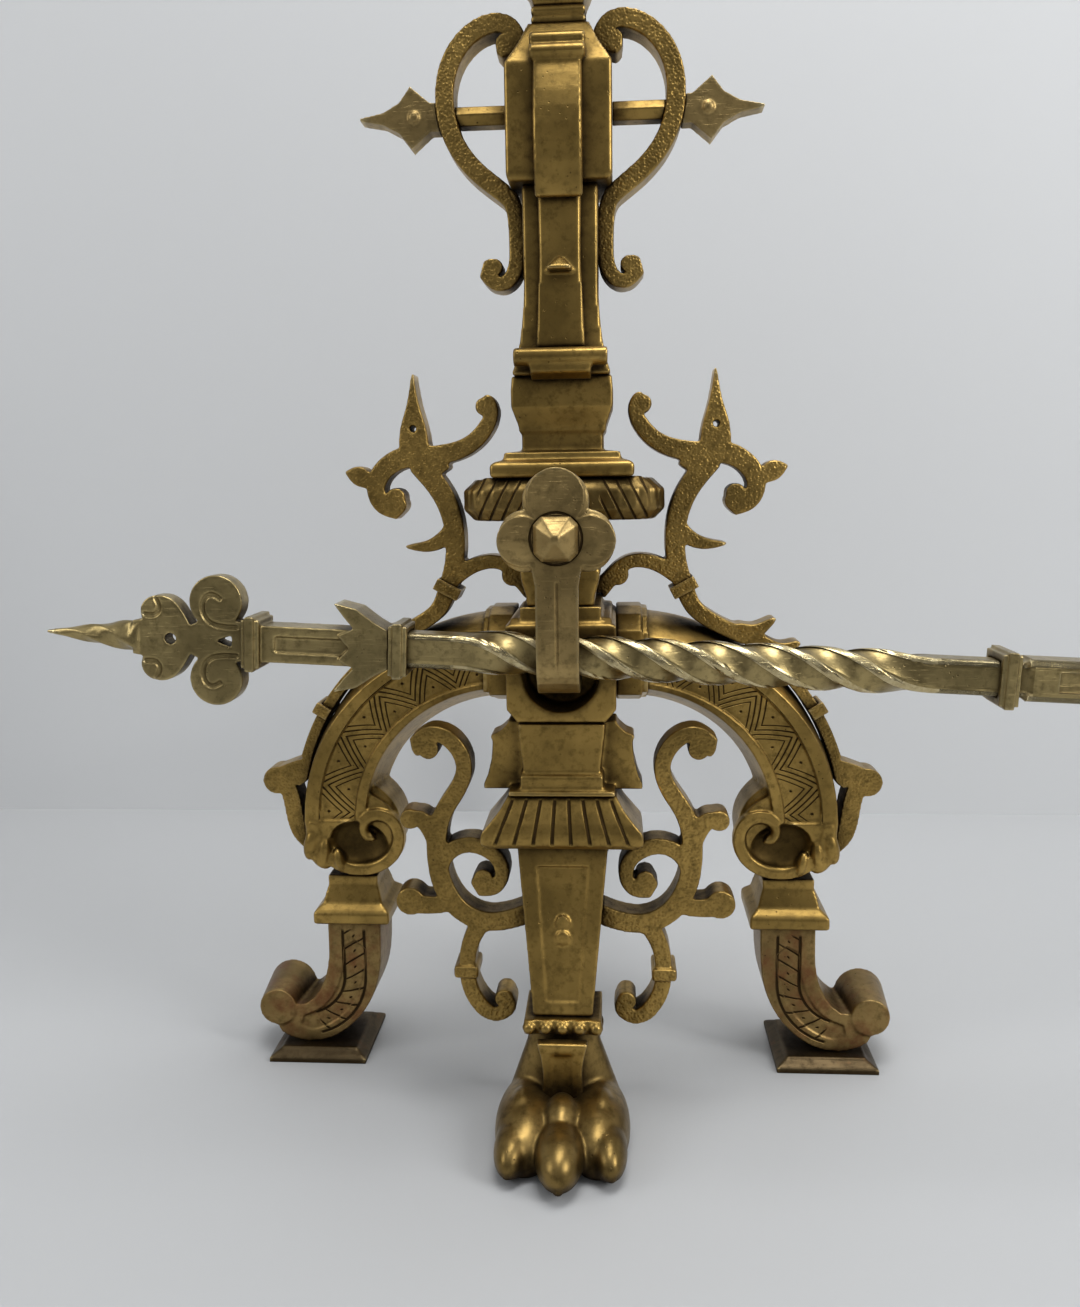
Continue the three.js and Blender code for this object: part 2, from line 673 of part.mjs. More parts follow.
// The lion's paw: an ankle that swells into a broad foot with three toes and small claws.
function lionPaw() {
  const oval = (z, halfX, front, back) => {
    const points = [];
    const count = 20;
    for (let i = 0; i < count; i += 1) {
      const angle = (2 * Math.PI * i) / count;
      const flat = Math.sign(Math.sin(angle)) * Math.abs(Math.sin(angle)) ** 0.8;
      points.push(new THREE.Vector3(
        halfX * Math.sign(Math.cos(angle)) * Math.abs(Math.cos(angle)) ** 0.8,
        (front + back) / 2 + ((back - front) / 2) * flat,
        z,
      ));
    }
    return points;
  };
  const body = loft([
    oval(0, PAW_HALF - 2.5, PAW_FRONT + 18, PAW_BACK),
    oval(5, PAW_HALF, PAW_FRONT + 14, PAW_BACK - 1),
    oval(15, PAW_HALF - 0.6, PAW_FRONT + 17, PAW_BACK),
    oval(24, PAW_HALF - 4, PAW_FRONT + 27, PAW_BACK + 4),
    oval(33, PAW_HALF - 9, PAW_FRONT + 42, PAW_BACK + 8),
    oval(PAW_HEIGHT, 19, PAW_FRONT + 56, LEG_BACK - 14),
  ]);
  const toe = (x, y, radius, length, height, turn) => {
    const geometry = new THREE.SphereGeometry(1, 10, 6).rotateX(Math.PI / 2);
    geometry.scale(radius, length, height).rotateX(0.42).rotateZ(turn);
    return solid(geometry.translate(x, y, height * 0.62));
  };
  const claw = (x, y, turn) => {
    const geometry = new THREE.ConeGeometry(2.2, 7, 6).rotateX(Math.PI * 0.6);
    return solid(geometry.rotateZ(turn).translate(x, y, 4.6));
  };
  const toes = [
    toe(0, PAW_FRONT + 22, 10.6, 22, 14.5, 0),
    toe(-19, PAW_FRONT + 31, 9.8, 22, 14.5, 0.14),
    toe(19, PAW_FRONT + 31, 9.8, 22, 14.5, -0.14),
    claw(0, PAW_FRONT + 2.6, 0),
    claw(-21.5, PAW_FRONT + 12, 0.2),
    claw(21.5, PAW_FRONT + 12, -0.2),
  ];
  const [wide, deep] = [4 * PAW_HALF, 3 * Math.abs(PAW_FRONT)];
  const aboveFloor = box(-wide, wide, -deep, deep, 0, PAW_HEIGHT);
  const behindBracket = box(-14, 14, -deep, bracketFront() + 6 + FIT, 15 - FIT, PAW_HEIGHT + 1);
  return cut(join(body, ...toes).intersect(aboveFloor), behindBracket);
}

// Cast scrollwork beside the front leg, for the right-hand side.
function legScroll() {
  const at = (x, drop, width) => [x, skirtBottom - drop, width];
  const shapes = [
    stroke([
      at(66.5, -41, 5), at(66.6, -47.4, 6), at(60.4, -50.3, 6.6), at(52.6, -47.8, 7),
      at(46.6, -40.5, 7), at(45, -32, 7), at(49, -22.5, 7.4), at(55, -13.5, 7.8), at(58.6, -3, 8.4),
      at(59, 8, 9), at(57, 22, 9), at(49.5, 34.6, 9), at(37.5, 40.6, 8.6), at(24, 39, 8.6),
      at(10, 33, 9),
    ]),
    stroke([
      at(58, 17, 7), at(55, 8.2, 7), at(46.5, 3, 7), at(37.2, 4.4, 7), at(30, 10, 6.8),
      at(28.4, 18.4, 6.4), at(32.6, 25, 6), at(39, 25, 5.4), at(41.2, 20.4, 4.8),
    ]),
    stroke([at(58.5, 4, 8), at(62, -5, 8), at(67.6, -10.4, 7), at(72, -9.4, 6)]),
    stroke([at(54, 32, 7), at(63, 33, 8), at(70, 32, 9)]),
    stroke([
      at(39, 41, 8), at(44.4, 51, 7.4), at(46.2, 63, 7), at(44.4, 75.5, 7), at(37, 86, 7),
      at(29, 87, 6.6), at(25.4, 80.4, 5.6),
    ]),
    disc(61.6, skirtBottom + 42.4, 4.6),
    disc(37.6, skirtBottom - 19.6, 4.4),
    disc(71.2, skirtBottom + 9, 4.6),
    disc(72.4, skirtBottom - 31, 6.6),
    disc(28.8, skirtBottom - 79, 4.4),
  ];
  const clip = new THREE.BoxGeometry(11, LEG_SCROLL_BACK - LEG_SCROLL_FRONT + 4, 5);
  clip.translate(46.4, (LEG_SCROLL_FRONT + LEG_SCROLL_BACK) / 2, skirtBottom - 65);
  return cut(
    join(casting(shapes, LEG_SCROLL_FRONT, LEG_SCROLL_BACK), solid(clip)),
    pilasterPost(FIT),
  );
}

// ---------------------------------------------------------------- column

function columnNeck() {
  const z = (share) => neckBottom + share * NECK_HEIGHT;
  const front = outline([
    [NECK_HALF, z(0)], [NECK_HALF, z(0.12)], [NECK_HALF + 2, z(0.3)], [NECK_HALF + 2.4, z(0.42)],
    [NECK_HALF - 2.6, z(0.62)], [NECK_HALF - 4.6, z(0.8)], [NECK_HALF - 3, z(0.94)],
    [NECK_HALF - 1, z(1)], [-NECK_HALF + 1, z(1)], [-NECK_HALF + 3, z(0.94)],
    [-NECK_HALF + 4.6, z(0.8)], [-NECK_HALF + 2.6, z(0.62)], [-NECK_HALF - 2.4, z(0.42)],
    [-NECK_HALF - 2, z(0.3)], [-NECK_HALF, z(0.12)], [-NECK_HALF, z(0)],
  ]);
  return cut(
    plate(front, BLOCK_FRONT + 4, BLOCK_BACK - 3),
    pin(0, boltZ, BOLT_SHANK + FIT, BLOCK_FRONT, BLOCK_FRONT + 24, 12),
  );
}

// A flat cushion with rope-like gadroons leaning round its rounded edge.
function gadroonedCushion() {
  const levels = [[0, 0.89], [0.25, 0.985], [0.7, 0.985], [0.96, 0.87]];
  const perLobe = 3;
  const count = CUSHION_LOBES * perLobe;
  const rings = levels.map(([share, reach], level) => {
    const ring = [];
    for (let i = 0; i < count; i += 1) {
      const angle = (2 * Math.PI * i) / count;
      const lobe = Math.abs(Math.sin((Math.PI * (i + level * 0.5)) / perLobe));
      const edge = reach - 0.028 * (1 - lobe);
      const round = (v) => Math.sign(v) * Math.abs(v) ** 0.5;
      ring.push(new THREE.Vector3(
        CUSHION_HALF * edge * round(Math.cos(angle)),
        CUSHION_HALF_DEPTH * edge * round(Math.sin(angle)),
        cushionBottom + share * CUSHION_HEIGHT,
      ));
    }
    return ring;
  });
  const top = box(
    -CUSHION_HALF + 12, CUSHION_HALF - 12, -CUSHION_HALF_DEPTH + 8, CUSHION_HALF_DEPTH - 8,
    cushionBottom + CUSHION_HEIGHT / 2, cushionBottom + CUSHION_HEIGHT,
  );
  return join(loft(rings), top);
}

function columnBase() {
  const z = (share) => baseBottom + share * BASE_HEIGHT;
  return moulding([
    [BASE_HALF - 1, z(0)], [BASE_HALF, z(0.02)], [BASE_HALF, z(0.12)], [BASE_HALF - 2, z(0.15)],
    [BASE_HALF - 6, z(0.17)], [BASE_HALF - 6.4, z(0.24)], [18.8, z(0.26)], [18.8, z(0.43)],
    [20, z(0.46)], [20, z(0.5)], [23.3, z(0.7)], [23.4, z(0.86)], [22.8, z(1)],
  ], 0.86);
}

function columnShaft() {
  const z = (share) => shaftBottom + share * SHAFT_HEIGHT;
  return moulding([
    [SHAFT_HALF + 5.6, z(0)], [SHAFT_HALF + 3.4, z(0.08)], [SHAFT_HALF + 1.5, z(0.2)],
    [SHAFT_HALF + 0.2, z(0.34)], [SHAFT_HALF - 0.4, z(0.48)], [SHAFT_HALF - 0.2, z(0.75)],
    [SHAFT_HALF, z(1)],
  ]);
}

const strapBottom = () => shaftBottom + 12;

// The strap on the shaft's face, with its faceted stud.
function shaftStrap() {
  const front = -SHAFT_HALF - FIT - 2.2;
  const height = headBottom - strapBottom();
  const lower = taperedPost(
    strapBottom(), 10.8, front - 4, strapBottom() + 0.55 * height, 9, front - 3, front + 1.4,
  );
  const upper = taperedPost(
    strapBottom() + 0.55 * height - 0.01, 9, front - 3, headBottom - FIT - 0.6, 9.5, front - 3, front + 1.4,
  );
  const stud = solid(
    new THREE.ConeGeometry(6.2 * Math.SQRT2, 6.5, 4, 1, false, Math.PI / 4)
      .rotateX(Math.PI / 2)
      .translate(0, front - 6, strapBottom() + 0.5 * height),
  );
  return cut(join(lower, upper, stud), shaftClearance());
}

const shaftClearance = () => grown(columnShaft());

// The same solid made wider and deeper by the fitting gap, about the column's axis.
function grown(body, lift = 0) {
  const bounds = new THREE.Box3().setFromBufferAttribute(
    geometryOf(body).getAttribute('position'),
  );
  const size = bounds.getSize(new THREE.Vector3());
  const geometry = geometryOf(body);
  geometry.scale(1 + (2 * FIT) / size.x, 1 + (2 * FIT) / size.y, 1);
  return solid(geometry.translate(0, 0, lift));
}

// A rolled leaf end across the foot of the strap, with a lip under it.
function rollBracket() {
  const roll = new THREE.CylinderGeometry(4, 4, 42, 12).rotateZ(Math.PI / 2);
  const z = strapBottom() - 4.6;
  const front = -SHAFT_HALF - 8;
  const lip = sideProfile([
    [front - 5, z], [front - 4.4, z - 7], [front + 1, z - 9.4], [front + 10, z - 9.4],
    [front + 10, z],
  ], 13.5);
  const base = grown(columnBase(), FIT);
  return cut(join(solid(roll.translate(0, front - 2, z)), lip), shaftClearance(), base);
}

const HEAD_SHOULDER = 0.72;      // share of the height at which the head begins to slope in

function headBlock() {
  const z = (share) => headBottom + share * HEAD_HEIGHT;
  return moulding([
    [HEAD_HALF - 1, z(0)], [HEAD_HALF, z(0.04)], [HEAD_HALF, z(HEAD_SHOULDER)],
    [HEAD_HALF - 6, z(0.87)], [HEAD_HALF - 10, z(1)],
  ]);
}

// The bulging band down the head's front, under a double roll that lies on the slope.
function headBand() {
  const [low, high] = [headBottom - 8, headBottom + HEAD_SHOULDER * HEAD_HEIGHT];
  const back = -HEAD_HALF - FIT;
  const steps = 8;
  const points = [];
  for (let i = 0; i <= steps; i += 1) {
    const t = i / steps;
    points.push([back - 3 - 7 * Math.sin(Math.PI * t), low + (high - low) * t]);
  }
  points.push([back, high], [back, low]);
  const roll = (y, z, radius) => {
    const geometry = new THREE.CylinderGeometry(radius, radius, 24, 8).rotateZ(Math.PI / 2);
    return solid(geometry.translate(0, y, z));
  };
  const seat = sideProfile([
    [back - 3, high - 0.01], [back - 2, high + 10], [back + 7, high + 11], [back + 7, high - 0.01],
  ], 10.4);
  const band = join(
    sideProfile(points, 10.4), seat, roll(back - 3, high + 2.6, 3), roll(back - 1.4, high + 8.4, 2.6),
  );
  return cut(band, grown(headBlock()));
}

function headCollar() {
  const z = (share) => collarBottom + share * COLLAR_HEIGHT;
  return moulding([
    [COLLAR_HALF - 1.6, z(0)], [COLLAR_HALF, z(0.12)], [COLLAR_HALF, z(0.38)],
    [COLLAR_HALF - 1.8, z(0.5)], [COLLAR_HALF, z(0.62)], [COLLAR_HALF, z(0.88)],
    [COLLAR_HALF - 1.4, z(1)],
  ]);
}

function capital() {
  const z = (share) => capitalBottom + share * CAPITAL_HEIGHT;
  return moulding([
    [COLLAR_HALF - 1, z(0)], [COLLAR_HALF, z(0.1)], [COLLAR_HALF + 2.6, z(0.26)],
    [COLLAR_HALF + 7.5, z(0.4)], [COLLAR_HALF + 8, z(0.46)], [COLLAR_HALF + 6, z(0.5)],
    [COLLAR_HALF + 8, z(0.58)], [CAPITAL_HALF - 2.4, z(0.74)], [CAPITAL_HALF, z(0.78)],
    [CAPITAL_HALF, z(0.9)], [CAPITAL_HALF - 4, z(0.94)], [CAPITAL_HALF - 6, z(1)],
  ]);
}

function finial() {
  const z = (share) => finialBottom + share * FINIAL_HEIGHT;
  const r = FINIAL_RADIUS;
  return turning([
    [0, z(0)], [r - 2, z(0)], [r - 1, z(0.05)], [r - 4, z(0.1)], [r * 0.4, z(0.17)],
    [r * 0.46, z(0.22)], [r * 0.76, z(0.28)], [r * 0.97, z(0.38)], [r, z(0.46)],
    [r * 0.93, z(0.57)], [r * 0.7, z(0.68)], [r * 0.4, z(0.77)], [r * 0.22, z(0.82)],
    [r * 0.3, z(0.88)], [r * 0.2, z(0.95)], [0, z(1)],
  ], 12);
}

// ---------------------------------------------------------------- ring, rods and arrowheads

const ringStations = () => {
  const at = (x, rise, width) => [x, headBottom + rise, width];
  const w = RING_STROKE;
  return [
    at(26.4, 59.5, w - 2.6), at(20.6, 60.4, w - 2), at(18.4, 66, w - 1), at(23, 71, w - 0.4),
    at(31, 71.4, w), at(40, 67.4, w), at(47.4, 59.6, w), at(51.6, 49.6, w), at(52.6, 39, w),
    at(50.8, 27.6, w), at(46, 17.2, w), at(38.4, 8.2, w), at(29.4, 1, w), at(22.4, -5, w - 0.6),
    at(20.6, -14, w - 1), at(20.4, -25, w - 1), at(20.8, -34.6, w - 1), at(25.4, -41.4, w - 1.2),
    at(31.6, -41.6, w - 1.6), at(35.2, -36.8, w - 2.2), at(33.4, -32, w - 3),
  ];
};

function columnClearance() {
  return join(
    grown(columnShaft()),
    grown(headBlock()),
    grown(headCollar()),
    grown(capital()),
    box(-HEAD_HALF, HEAD_HALF, -HEAD_HALF, HEAD_HALF, headBottom - FIT, headBottom + 1),
    box(-11, 11, -11, 11, collarBottom - 1, capitalBottom + 1),
  );
}

function ringScroll() {
  const shapes = [stroke(ringStations()), disc(24.6, headBottom + 62.6, 4), disc(31, headBottom - 34, 3.6)];
  return cut(casting(shapes, ORNAMENT_FRONT, ORNAMENT_BACK), columnClearance());
}

const rodHeight = () => headBottom + 33;

function crossRod() {
  const half = 4.2;
  const section = [
    [ORNAMENT_FRONT + 3, rodHeight() - half], [ORNAMENT_FRONT + 0.6, rodHeight()],
    [ORNAMENT_FRONT + 3, rodHeight() + half], [ORNAMENT_BACK - 3, rodHeight() + half],
    [ORNAMENT_BACK - 3, rodHeight() - half],
  ];
  const rod = solid(geometryOf(sideProfile(section, 14)).translate(HEAD_HALF + FIT + 14, 0, 0));
  const ring = plate(stroke(ringStations().slice(4, 14), FIT), ORNAMENT_FRONT - 1, ORNAMENT_BACK + 1);
  const beyond = box(HEAD_HALF + 28, 200, -50, 50, 0, 2 * headBottom);
  return cut(rod, ring, beyond);
}

function arrowhead() {
  const z = rodHeight();
  const shape = outline([
    [50, z + 6.5], [59.6, z + 6.2], [68.6, z + 13.6], [74, z + 6.6], [81.6, z + 2.6], [92.2, z + 0.6],
    [92.2, z - 0.6], [81.6, z - 2.6], [74, z - 6.6], [68.6, z - 13.6], [59.6, z - 6.2], [50, z - 6.5],
  ]);
  const rivet = turning([
    [0, -4], [RIVET_RADIUS, -4], [RIVET_RADIUS, 0], [RIVET_RADIUS * 0.6, 1.3], [0, 1.7],
  ], 10);
  const dome = geometryOf(rivet).rotateX(Math.PI / 2).translate(67, ORNAMENT_FRONT + 2, z);
  const ring = plate(stroke(ringStations().slice(4, 14), FIT), ORNAMENT_FRONT - 1, ORNAMENT_BACK + 1);
  const inside = box(0, 52, -50, 50, 0, 2 * headBottom);
  return cut(join(plate(shape, ORNAMENT_FRONT + 2, ORNAMENT_BACK - 2), solid(dome)), ring, inside);
}

// ---------------------------------------------------------------- wings

// The height of the arch's top surface over a given distance from the column's axis.
const archSurface = (x) => archZ + Math.sqrt(ARCH_OUTER ** 2 - Math.max(x - ARCH_SPRING_X, 0) ** 2);

function limbStations() {
  const at = (x, rise, width) => [x, archTop + rise, width];
  const along = (x, lift, width) => [x, archSurface(x) + FIT + width / 2 + lift, width];
  return [
    at(70, 73, 9.6), at(60.6, 62, 9.8), at(55, 50.5, 9.4), at(53, 38.5, 9), at(53.4, 27, 8.6),
    at(56, 17, 8.4), along(61.5, 4, 7.6), along(69.5, 0.8, 7.2), along(78, 0, 7.2),
    along(86.5, 1.6, 7.4),
  ];
}

function wingScroll() {
  const at = (x, rise, width) => [x, archTop + rise, width];
  const shapes = [
    stroke(limbStations()),
    stroke([
      at(68, 76, 9.4), at(54, 78, 8.4), at(44, 82, 7.6), at(36.6, 89.6, 7), at(33.4, 97, 6.4),
      at(35.8, 103, 5.4),
    ]),
    stroke([
      at(58, 72, 9), at(70, 76.6, 9.4), at(82.6, 74, 9.4), at(90.6, 65, 8.6), at(90, 54.8, 7.6),
      at(83.6, 50, 6.6), at(78, 53.6, 5.6),
    ]),
    stroke([at(54, 43, 6), at(59.4, 36.4, 7), at(67, 33.2, 5), at(76.8, 33.4, 1)]),
    stroke([
      at(54, 18, 7), at(45.4, 23.6, 6.6), at(36, 26, 6.2), at(28, 24, 6), at(22.6, 18, 7),
      at(16, 10.6, 8),
    ]),
    stroke([at(84, -8.6, 7), at(92, -9, 6.4), at(100.6, -3, 1.6)]),
    stroke([at(82, -8.4, 7), at(94, -14.6, 7.6), at(104, -18.4, 6), at(112, -15, 3)]),
    outline([
      [64.4, archTop + 78], [65.4, archTop + 89.4], [69.4, archTop + 101], [71.4, archTop + 116.6],
      [73.6, archTop + 101], [78.4, archTop + 90], [78.6, archTop + 78],
    ]),
    outline([
      [91, archTop + 65], [95.4, archTop + 71], [100, archTop + 72.6], [105.4, archTop + 69.6],
      [102, archTop + 63.6], [96, archTop + 62],
    ]),
    disc(37.6, archTop + 99.4, 4),
    disc(81.4, archTop + 57, 4.6),
    disc(25.6, archTop + 19, 5),
  ];
  const clear = join(
    archClearance(),
    box(0, BLOCK_HALF + 16, -60, 60, 0, archTop + 1.5 + FIT),
    box(0, STEP_HALF + FIT, -60, 60, 0, neckBottom + 1),
    grown(columnNeck()),
    pin(71.9, archTop + 89.6, 2.1, -60, 60, 8),
    plate(stroke(archLeafStations(), FIT), ORNAMENT_FRONT - 1, ORNAMENT_BACK + 1),
  );
  return cut(casting(shapes, ORNAMENT_FRONT, ORNAMENT_BACK), clear);
}

// The band that binds the wing's limb above the arch.
function wingClip() {
  const heading = THREE.MathUtils.degToRad(-62);
  const centre = [57.2, archTop + 12.6];
  const others = plate(stroke([
    [54, archTop + 18, 7], [45.4, archTop + 23.6, 6.6], [36, archTop + 26, 6.2],
  ], FIT), ORNAMENT_FRONT - FIT, ORNAMENT_BACK + FIT);
  return clipRound(limbStations(), centre, heading, 13, 6, [others]);
}

// ---------------------------------------------------------------- hook

function hookSpacer() {
  return cut(
    pin(0, boltZ, SPACER_RADIUS, strapBack + FIT, BLOCK_FRONT + 4 - FIT, 20),
    pin(0, boltZ, BOLT_SHANK + FIT, strapBack, BLOCK_FRONT + 5, 12),
  );
}

// The trefoil plate, its strap, and the curl under the bar with its tail in the block's recess.
function hook() {
  const lobes = [
    disc(-LOBE_OFFSET, boltZ - 1, LOBE_RADIUS),
    disc(LOBE_OFFSET, boltZ - 1, LOBE_RADIUS),
    disc(0, boltZ + UPPER_LOBE_RISE, UPPER_LOBE_RADIUS),
    disc(0, boltZ, 12),
    outline([
      [-12, boltZ - 8], [-10.4, boltZ - 12], [-STRAP_HALF, boltZ - 20], [-STRAP_HALF, barZ],
      [STRAP_HALF, barZ], [STRAP_HALF, boltZ - 20], [10.4, boltZ - 12], [12, boltZ - 8],
    ]),
  ];
  const front = casting(lobes, strapFront, strapBack, 10);
  const curl = [];
  const steps = 7;
  for (let i = 0; i <= steps; i += 1) {
    const angle = Math.PI + (Math.PI / 2) * (i / steps);
    curl.push([barY + loopInner * Math.cos(angle), barZ + loopInner * Math.sin(angle)]);
  }
  const tailBack = BLOCK_FRONT + TAIL_DEPTH;
  curl.push([tailBack, barZ - loopInner], [tailBack, barZ - loopInner - STRAP_THICK + 1.5]);
  const outer = loopInner + STRAP_THICK;
  for (let i = steps; i >= 0; i -= 1) {
    const angle = Math.PI + (Math.PI / 2) * (i / steps);
    curl.push([barY + outer * Math.cos(angle), barZ + outer * Math.sin(angle)]);
  }
  curl.push([strapFront, barZ + 2], [strapBack, barZ + 2]);
  const groove = box(-0.6, 0.6, strapFront - 1, strapFront + 0.9, barZ - 8, boltZ - 18);
  const hole = pin(0, boltZ, BOLT_SHANK + FIT, strapFront - 1, strapBack + 1, 24);
  return cut(join(front, sideProfile(curl, STRAP_HALF)), groove, hole, ...barPassage());
}

// The room that the bar needs in the hook while the hook swings about its bolt.
function barPassage() {
  return [-HOOK_SWING, 0, HOOK_SWING].map((swing) => {
    const geometry = new THREE.CylinderGeometry(barRadius + FIT, barRadius + FIT, 80, 24);
    geometry.rotateZ(Math.PI / 2).rotateY(THREE.MathUtils.degToRad(BAR_DROOP));
    geometry.translate(0, barY, barZ - boltZ).rotateY(THREE.MathUtils.degToRad(swing));
    return solid(geometry.translate(0, 0, boltZ));
  });
}

// A bolt whose head is a low pyramid with clipped corners.
function hookBolt() {
  const face = strapFront - FIT;
  const ring = (half, y) => {
    const clipped = half * 0.64;
    return [
      [clipped, -half], [half, -clipped], [half, clipped], [clipped, half],
      [-clipped, half], [-half, clipped], [-half, -clipped], [-clipped, -half],
    ].map(([x, z]) => new THREE.Vector3(x, y, boltZ + z));
  };
  const half = BOLT_HEAD_HALF;
  const head = loft([
    ring(half - 0.8, face), ring(half, face - 2), ring(half - 1.4, face - 4), ring(1.5, face - 9.6),
  ]);
  return join(head, pin(0, boltZ, BOLT_SHANK, face - 1, BLOCK_FRONT + 4 + 18, 24));
}

// ---------------------------------------------------------------- crossbar

// A square section with worn corners, at one place on the bar, turned by an angle.
function barRing(x, turn, half, chamfer = BAR_CHAMFER) {
  const flat = half - chamfer;
  const corners = [
    [half, -flat], [half, flat], [flat, half], [-flat, half],
    [-half, flat], [-half, -flat], [-flat, -half], [flat, -half],
  ];
  return corners.map(([y, z]) => new THREE.Vector3(
    x,
    y * Math.cos(turn) - z * Math.sin(turn),
    y * Math.sin(turn) + z * Math.cos(turn),
  ));
}

// The share of the whole twist that lies before a place: a steady rate with a soft start and end.
function twistShare(x) {
  const length = TWIST_END - TWIST_START;
  const rate = 1 / (length - TWIST_EASE);
  const along = THREE.MathUtils.clamp(x - TWIST_START, 0, length);
  if (along < TWIST_EASE) return (rate * along ** 2) / (2 * TWIST_EASE);
  if (along > length - TWIST_EASE) return 1 - (rate * (length - along) ** 2) / (2 * TWIST_EASE);
  return rate * (along - TWIST_EASE / 2);
}

function twistedHalf() {
  const half = BAR_SIDE / 2;
  const whole = TWIST_QUARTERS * (Math.PI / 2);
  const steps = TWIST_QUARTERS * STEPS_PER_QUARTER;
  const rings = [barRing(COLLAR_2 - 1.5, 0, half)];
  for (let i = 0; i <= steps; i += 1) {
    const x = TWIST_START + ((TWIST_END - TWIST_START) * i) / steps;
    rings.push(barRing(x, whole * twistShare(x), half));
  }
  rings.push(barRing(PANEL_START, whole, half));
  return loft(rings);
}

// The wider panel in the middle of the bar, with a sunk slot in its face.
function centrePanel() {
  const [length, half] = [BAR_CENTRE - PANEL_START, BAR_SIDE / 2 + 1.4];
  const body = box(PANEL_START - 1, BAR_CENTRE + length + 1, -half, half, -half, half);
  const slot = (y0, y1) => box(PANEL_START + 10, BAR_CENTRE + length - 10, y0, y1, -4.4, 4.4);
  return cut(body, slot(-half - 1, -half + 1.6), slot(half - 1.6, half + 1));
}

const flippedBar = (body) => {
  const geometry = geometryOf(body).scale(-1, 1, 1).translate(2 * BAR_CENTRE, 0, 0);
  return solid(geometry);
};

function crossbar() {
  const half = twistedHalf();
  return join(half, centrePanel(), flippedBar(half));
}

function barSleeve(middle) {
  const [a, b] = [middle - SLEEVE_LENGTH / 2, middle + SLEEVE_LENGTH / 2];
  const [s, hole] = [SLEEVE_HALF, BAR_SIDE / 2 + FIT];
  const band = join(
    box(a, b, -s + 1.2, s - 1.2, -s + 1.2, s - 1.2),
    box(a + 2, b - 2, -s, s, -s, s),
  );
  return cut(band, box(a - 1, b + 1, -hole, hole, -hole, hole));
}

// The channelled end block with its forked leaf, which the spearhead is set into.
function ferrule() {
  const end = COLLAR_2 - 1.5 - FIT;
  const start = end - FERRULE_LENGTH;
  const leafEnd = COLLAR_2 - SLEEVE_LENGTH / 2 - FIT;
  const [half, tenon] = [FERRULE_HALF, BAR_SIDE / 2];
  const body = join(
    box(start, leafEnd, -half, half, -half, half),
    box(start, end, -tenon, tenon, -tenon, tenon),
  );
  const channel = (y0, y1) => box(start + 14, leafEnd - 3, y0, y1, -3.6, 3.6);
  const leaf = outline([
    [leafEnd, -half - 0.4], [leafEnd - 6, -11.6], [leafEnd - 14, -17.2], [leafEnd - 24, -19.4],
    [leafEnd - 19, -13], [leafEnd - 15, -8.6], [leafEnd - 22, -5.4], [leafEnd - 17, 0],
    [leafEnd - 22, 5.4], [leafEnd - 15, 8.6], [leafEnd - 19, 13], [leafEnd - 24, 19.4],
    [leafEnd - 14, 17.2], [leafEnd - 6, 11.6], [leafEnd, half + 0.4],
  ]);
  const s = SLEEVE_HALF;
  const collar = join(
    box(start, start + SLEEVE_LENGTH, -s + 1.4, s - 1.4, -s + 1.4, s - 1.4),
    box(start + 2, start + SLEEVE_LENGTH - 2, -s, s, -s, s),
  );
  return join(
    cut(body, channel(-half - 1, -half + 1.4), channel(half - 1.4, half + 1)),
    plate(leaf, -half - 1.2, half + 1.2),
    collar,
  );
}

// The spearhead: a flat palmette of four volutes, and a twisted point.
function spearhead() {
  const end = COLLAR_2 - 1.5 - 2 * FIT - FERRULE_LENGTH;
  const shapes = [];
  for (const side of [-1, 1]) {
    const at = (x, z) => [end - x, side * z];
    shapes.push(
      outline([
        at(0, 0), at(0, 8.6), at(6, 9), at(22, 7.6), at(24, 6.2), at(28.4, 14.4), at(33, 18.4),
        at(39, 19.4), at(44.4, 17.2), at(46.8, 12.4), at(45.4, 8), at(PALMETTE_LENGTH, 7.4),
        at(PALMETTE_LENGTH, 0),
      ]),
      disc(...at(12.6, 17), 12),
    );
  }
  const wedge = outline([[end - 13, 0], [end - 5.6, -2.6], [end - 5.6, 2.6]]);
  const rings = [];
  const steps = 9;
  for (let i = 0; i <= steps; i += 1) {
    const t = i / steps;
    const radius = THREE.MathUtils.lerp(7.6, 0.7, t ** 1.15);
    const x = end - PALMETTE_LENGTH + 3 - t * SPIKE_LENGTH;
    rings.push(barRing(x, -4.2 * t, radius * 0.8, radius * 0.1));
  }
  return cut(
    join(casting(shapes, -5, 5, 8), loft(rings)),
    pin(end - 33, 0, 2.6, -20, 20, 10),
    plate(wedge, -20, 20),
  );
}

// ---------------------------------------------------------------- billet bar

function billetBar() {
  const top = blockBottom - FIT;
  const [low, foot] = [top - BILLET_SIDE, REAR_FOOT_HEIGHT + FIT];
  const [front, back] = [LEG_BACK + FIT, BILLET_REACH];
  const bend = 34;
  const points = [[front, top]];
  const arc = (radius, steps) => {
    const list = [];
    for (let i = 0; i <= steps; i += 1) {
      const angle = (Math.PI / 2) * (1 - i / steps);
      const [across, up] = [radius * Math.cos(angle), radius * Math.sin(angle)];
      list.push([back - bend - BILLET_SIDE + across, low - bend + up]);
    }
    return list;
  };
  points.push(...arc(bend + BILLET_SIDE, 6), [back, foot], [back - BILLET_SIDE, foot]);
  points.push(...arc(bend, 5).reverse(), [front, low]);
  return cut(
    sideProfile(points, BILLET_SIDE / 2),
    solid(new THREE.CylinderGeometry(6.4, 6.4, 80, 12).rotateX(Math.PI / 2).translate(0, 0, top)),
  );
}

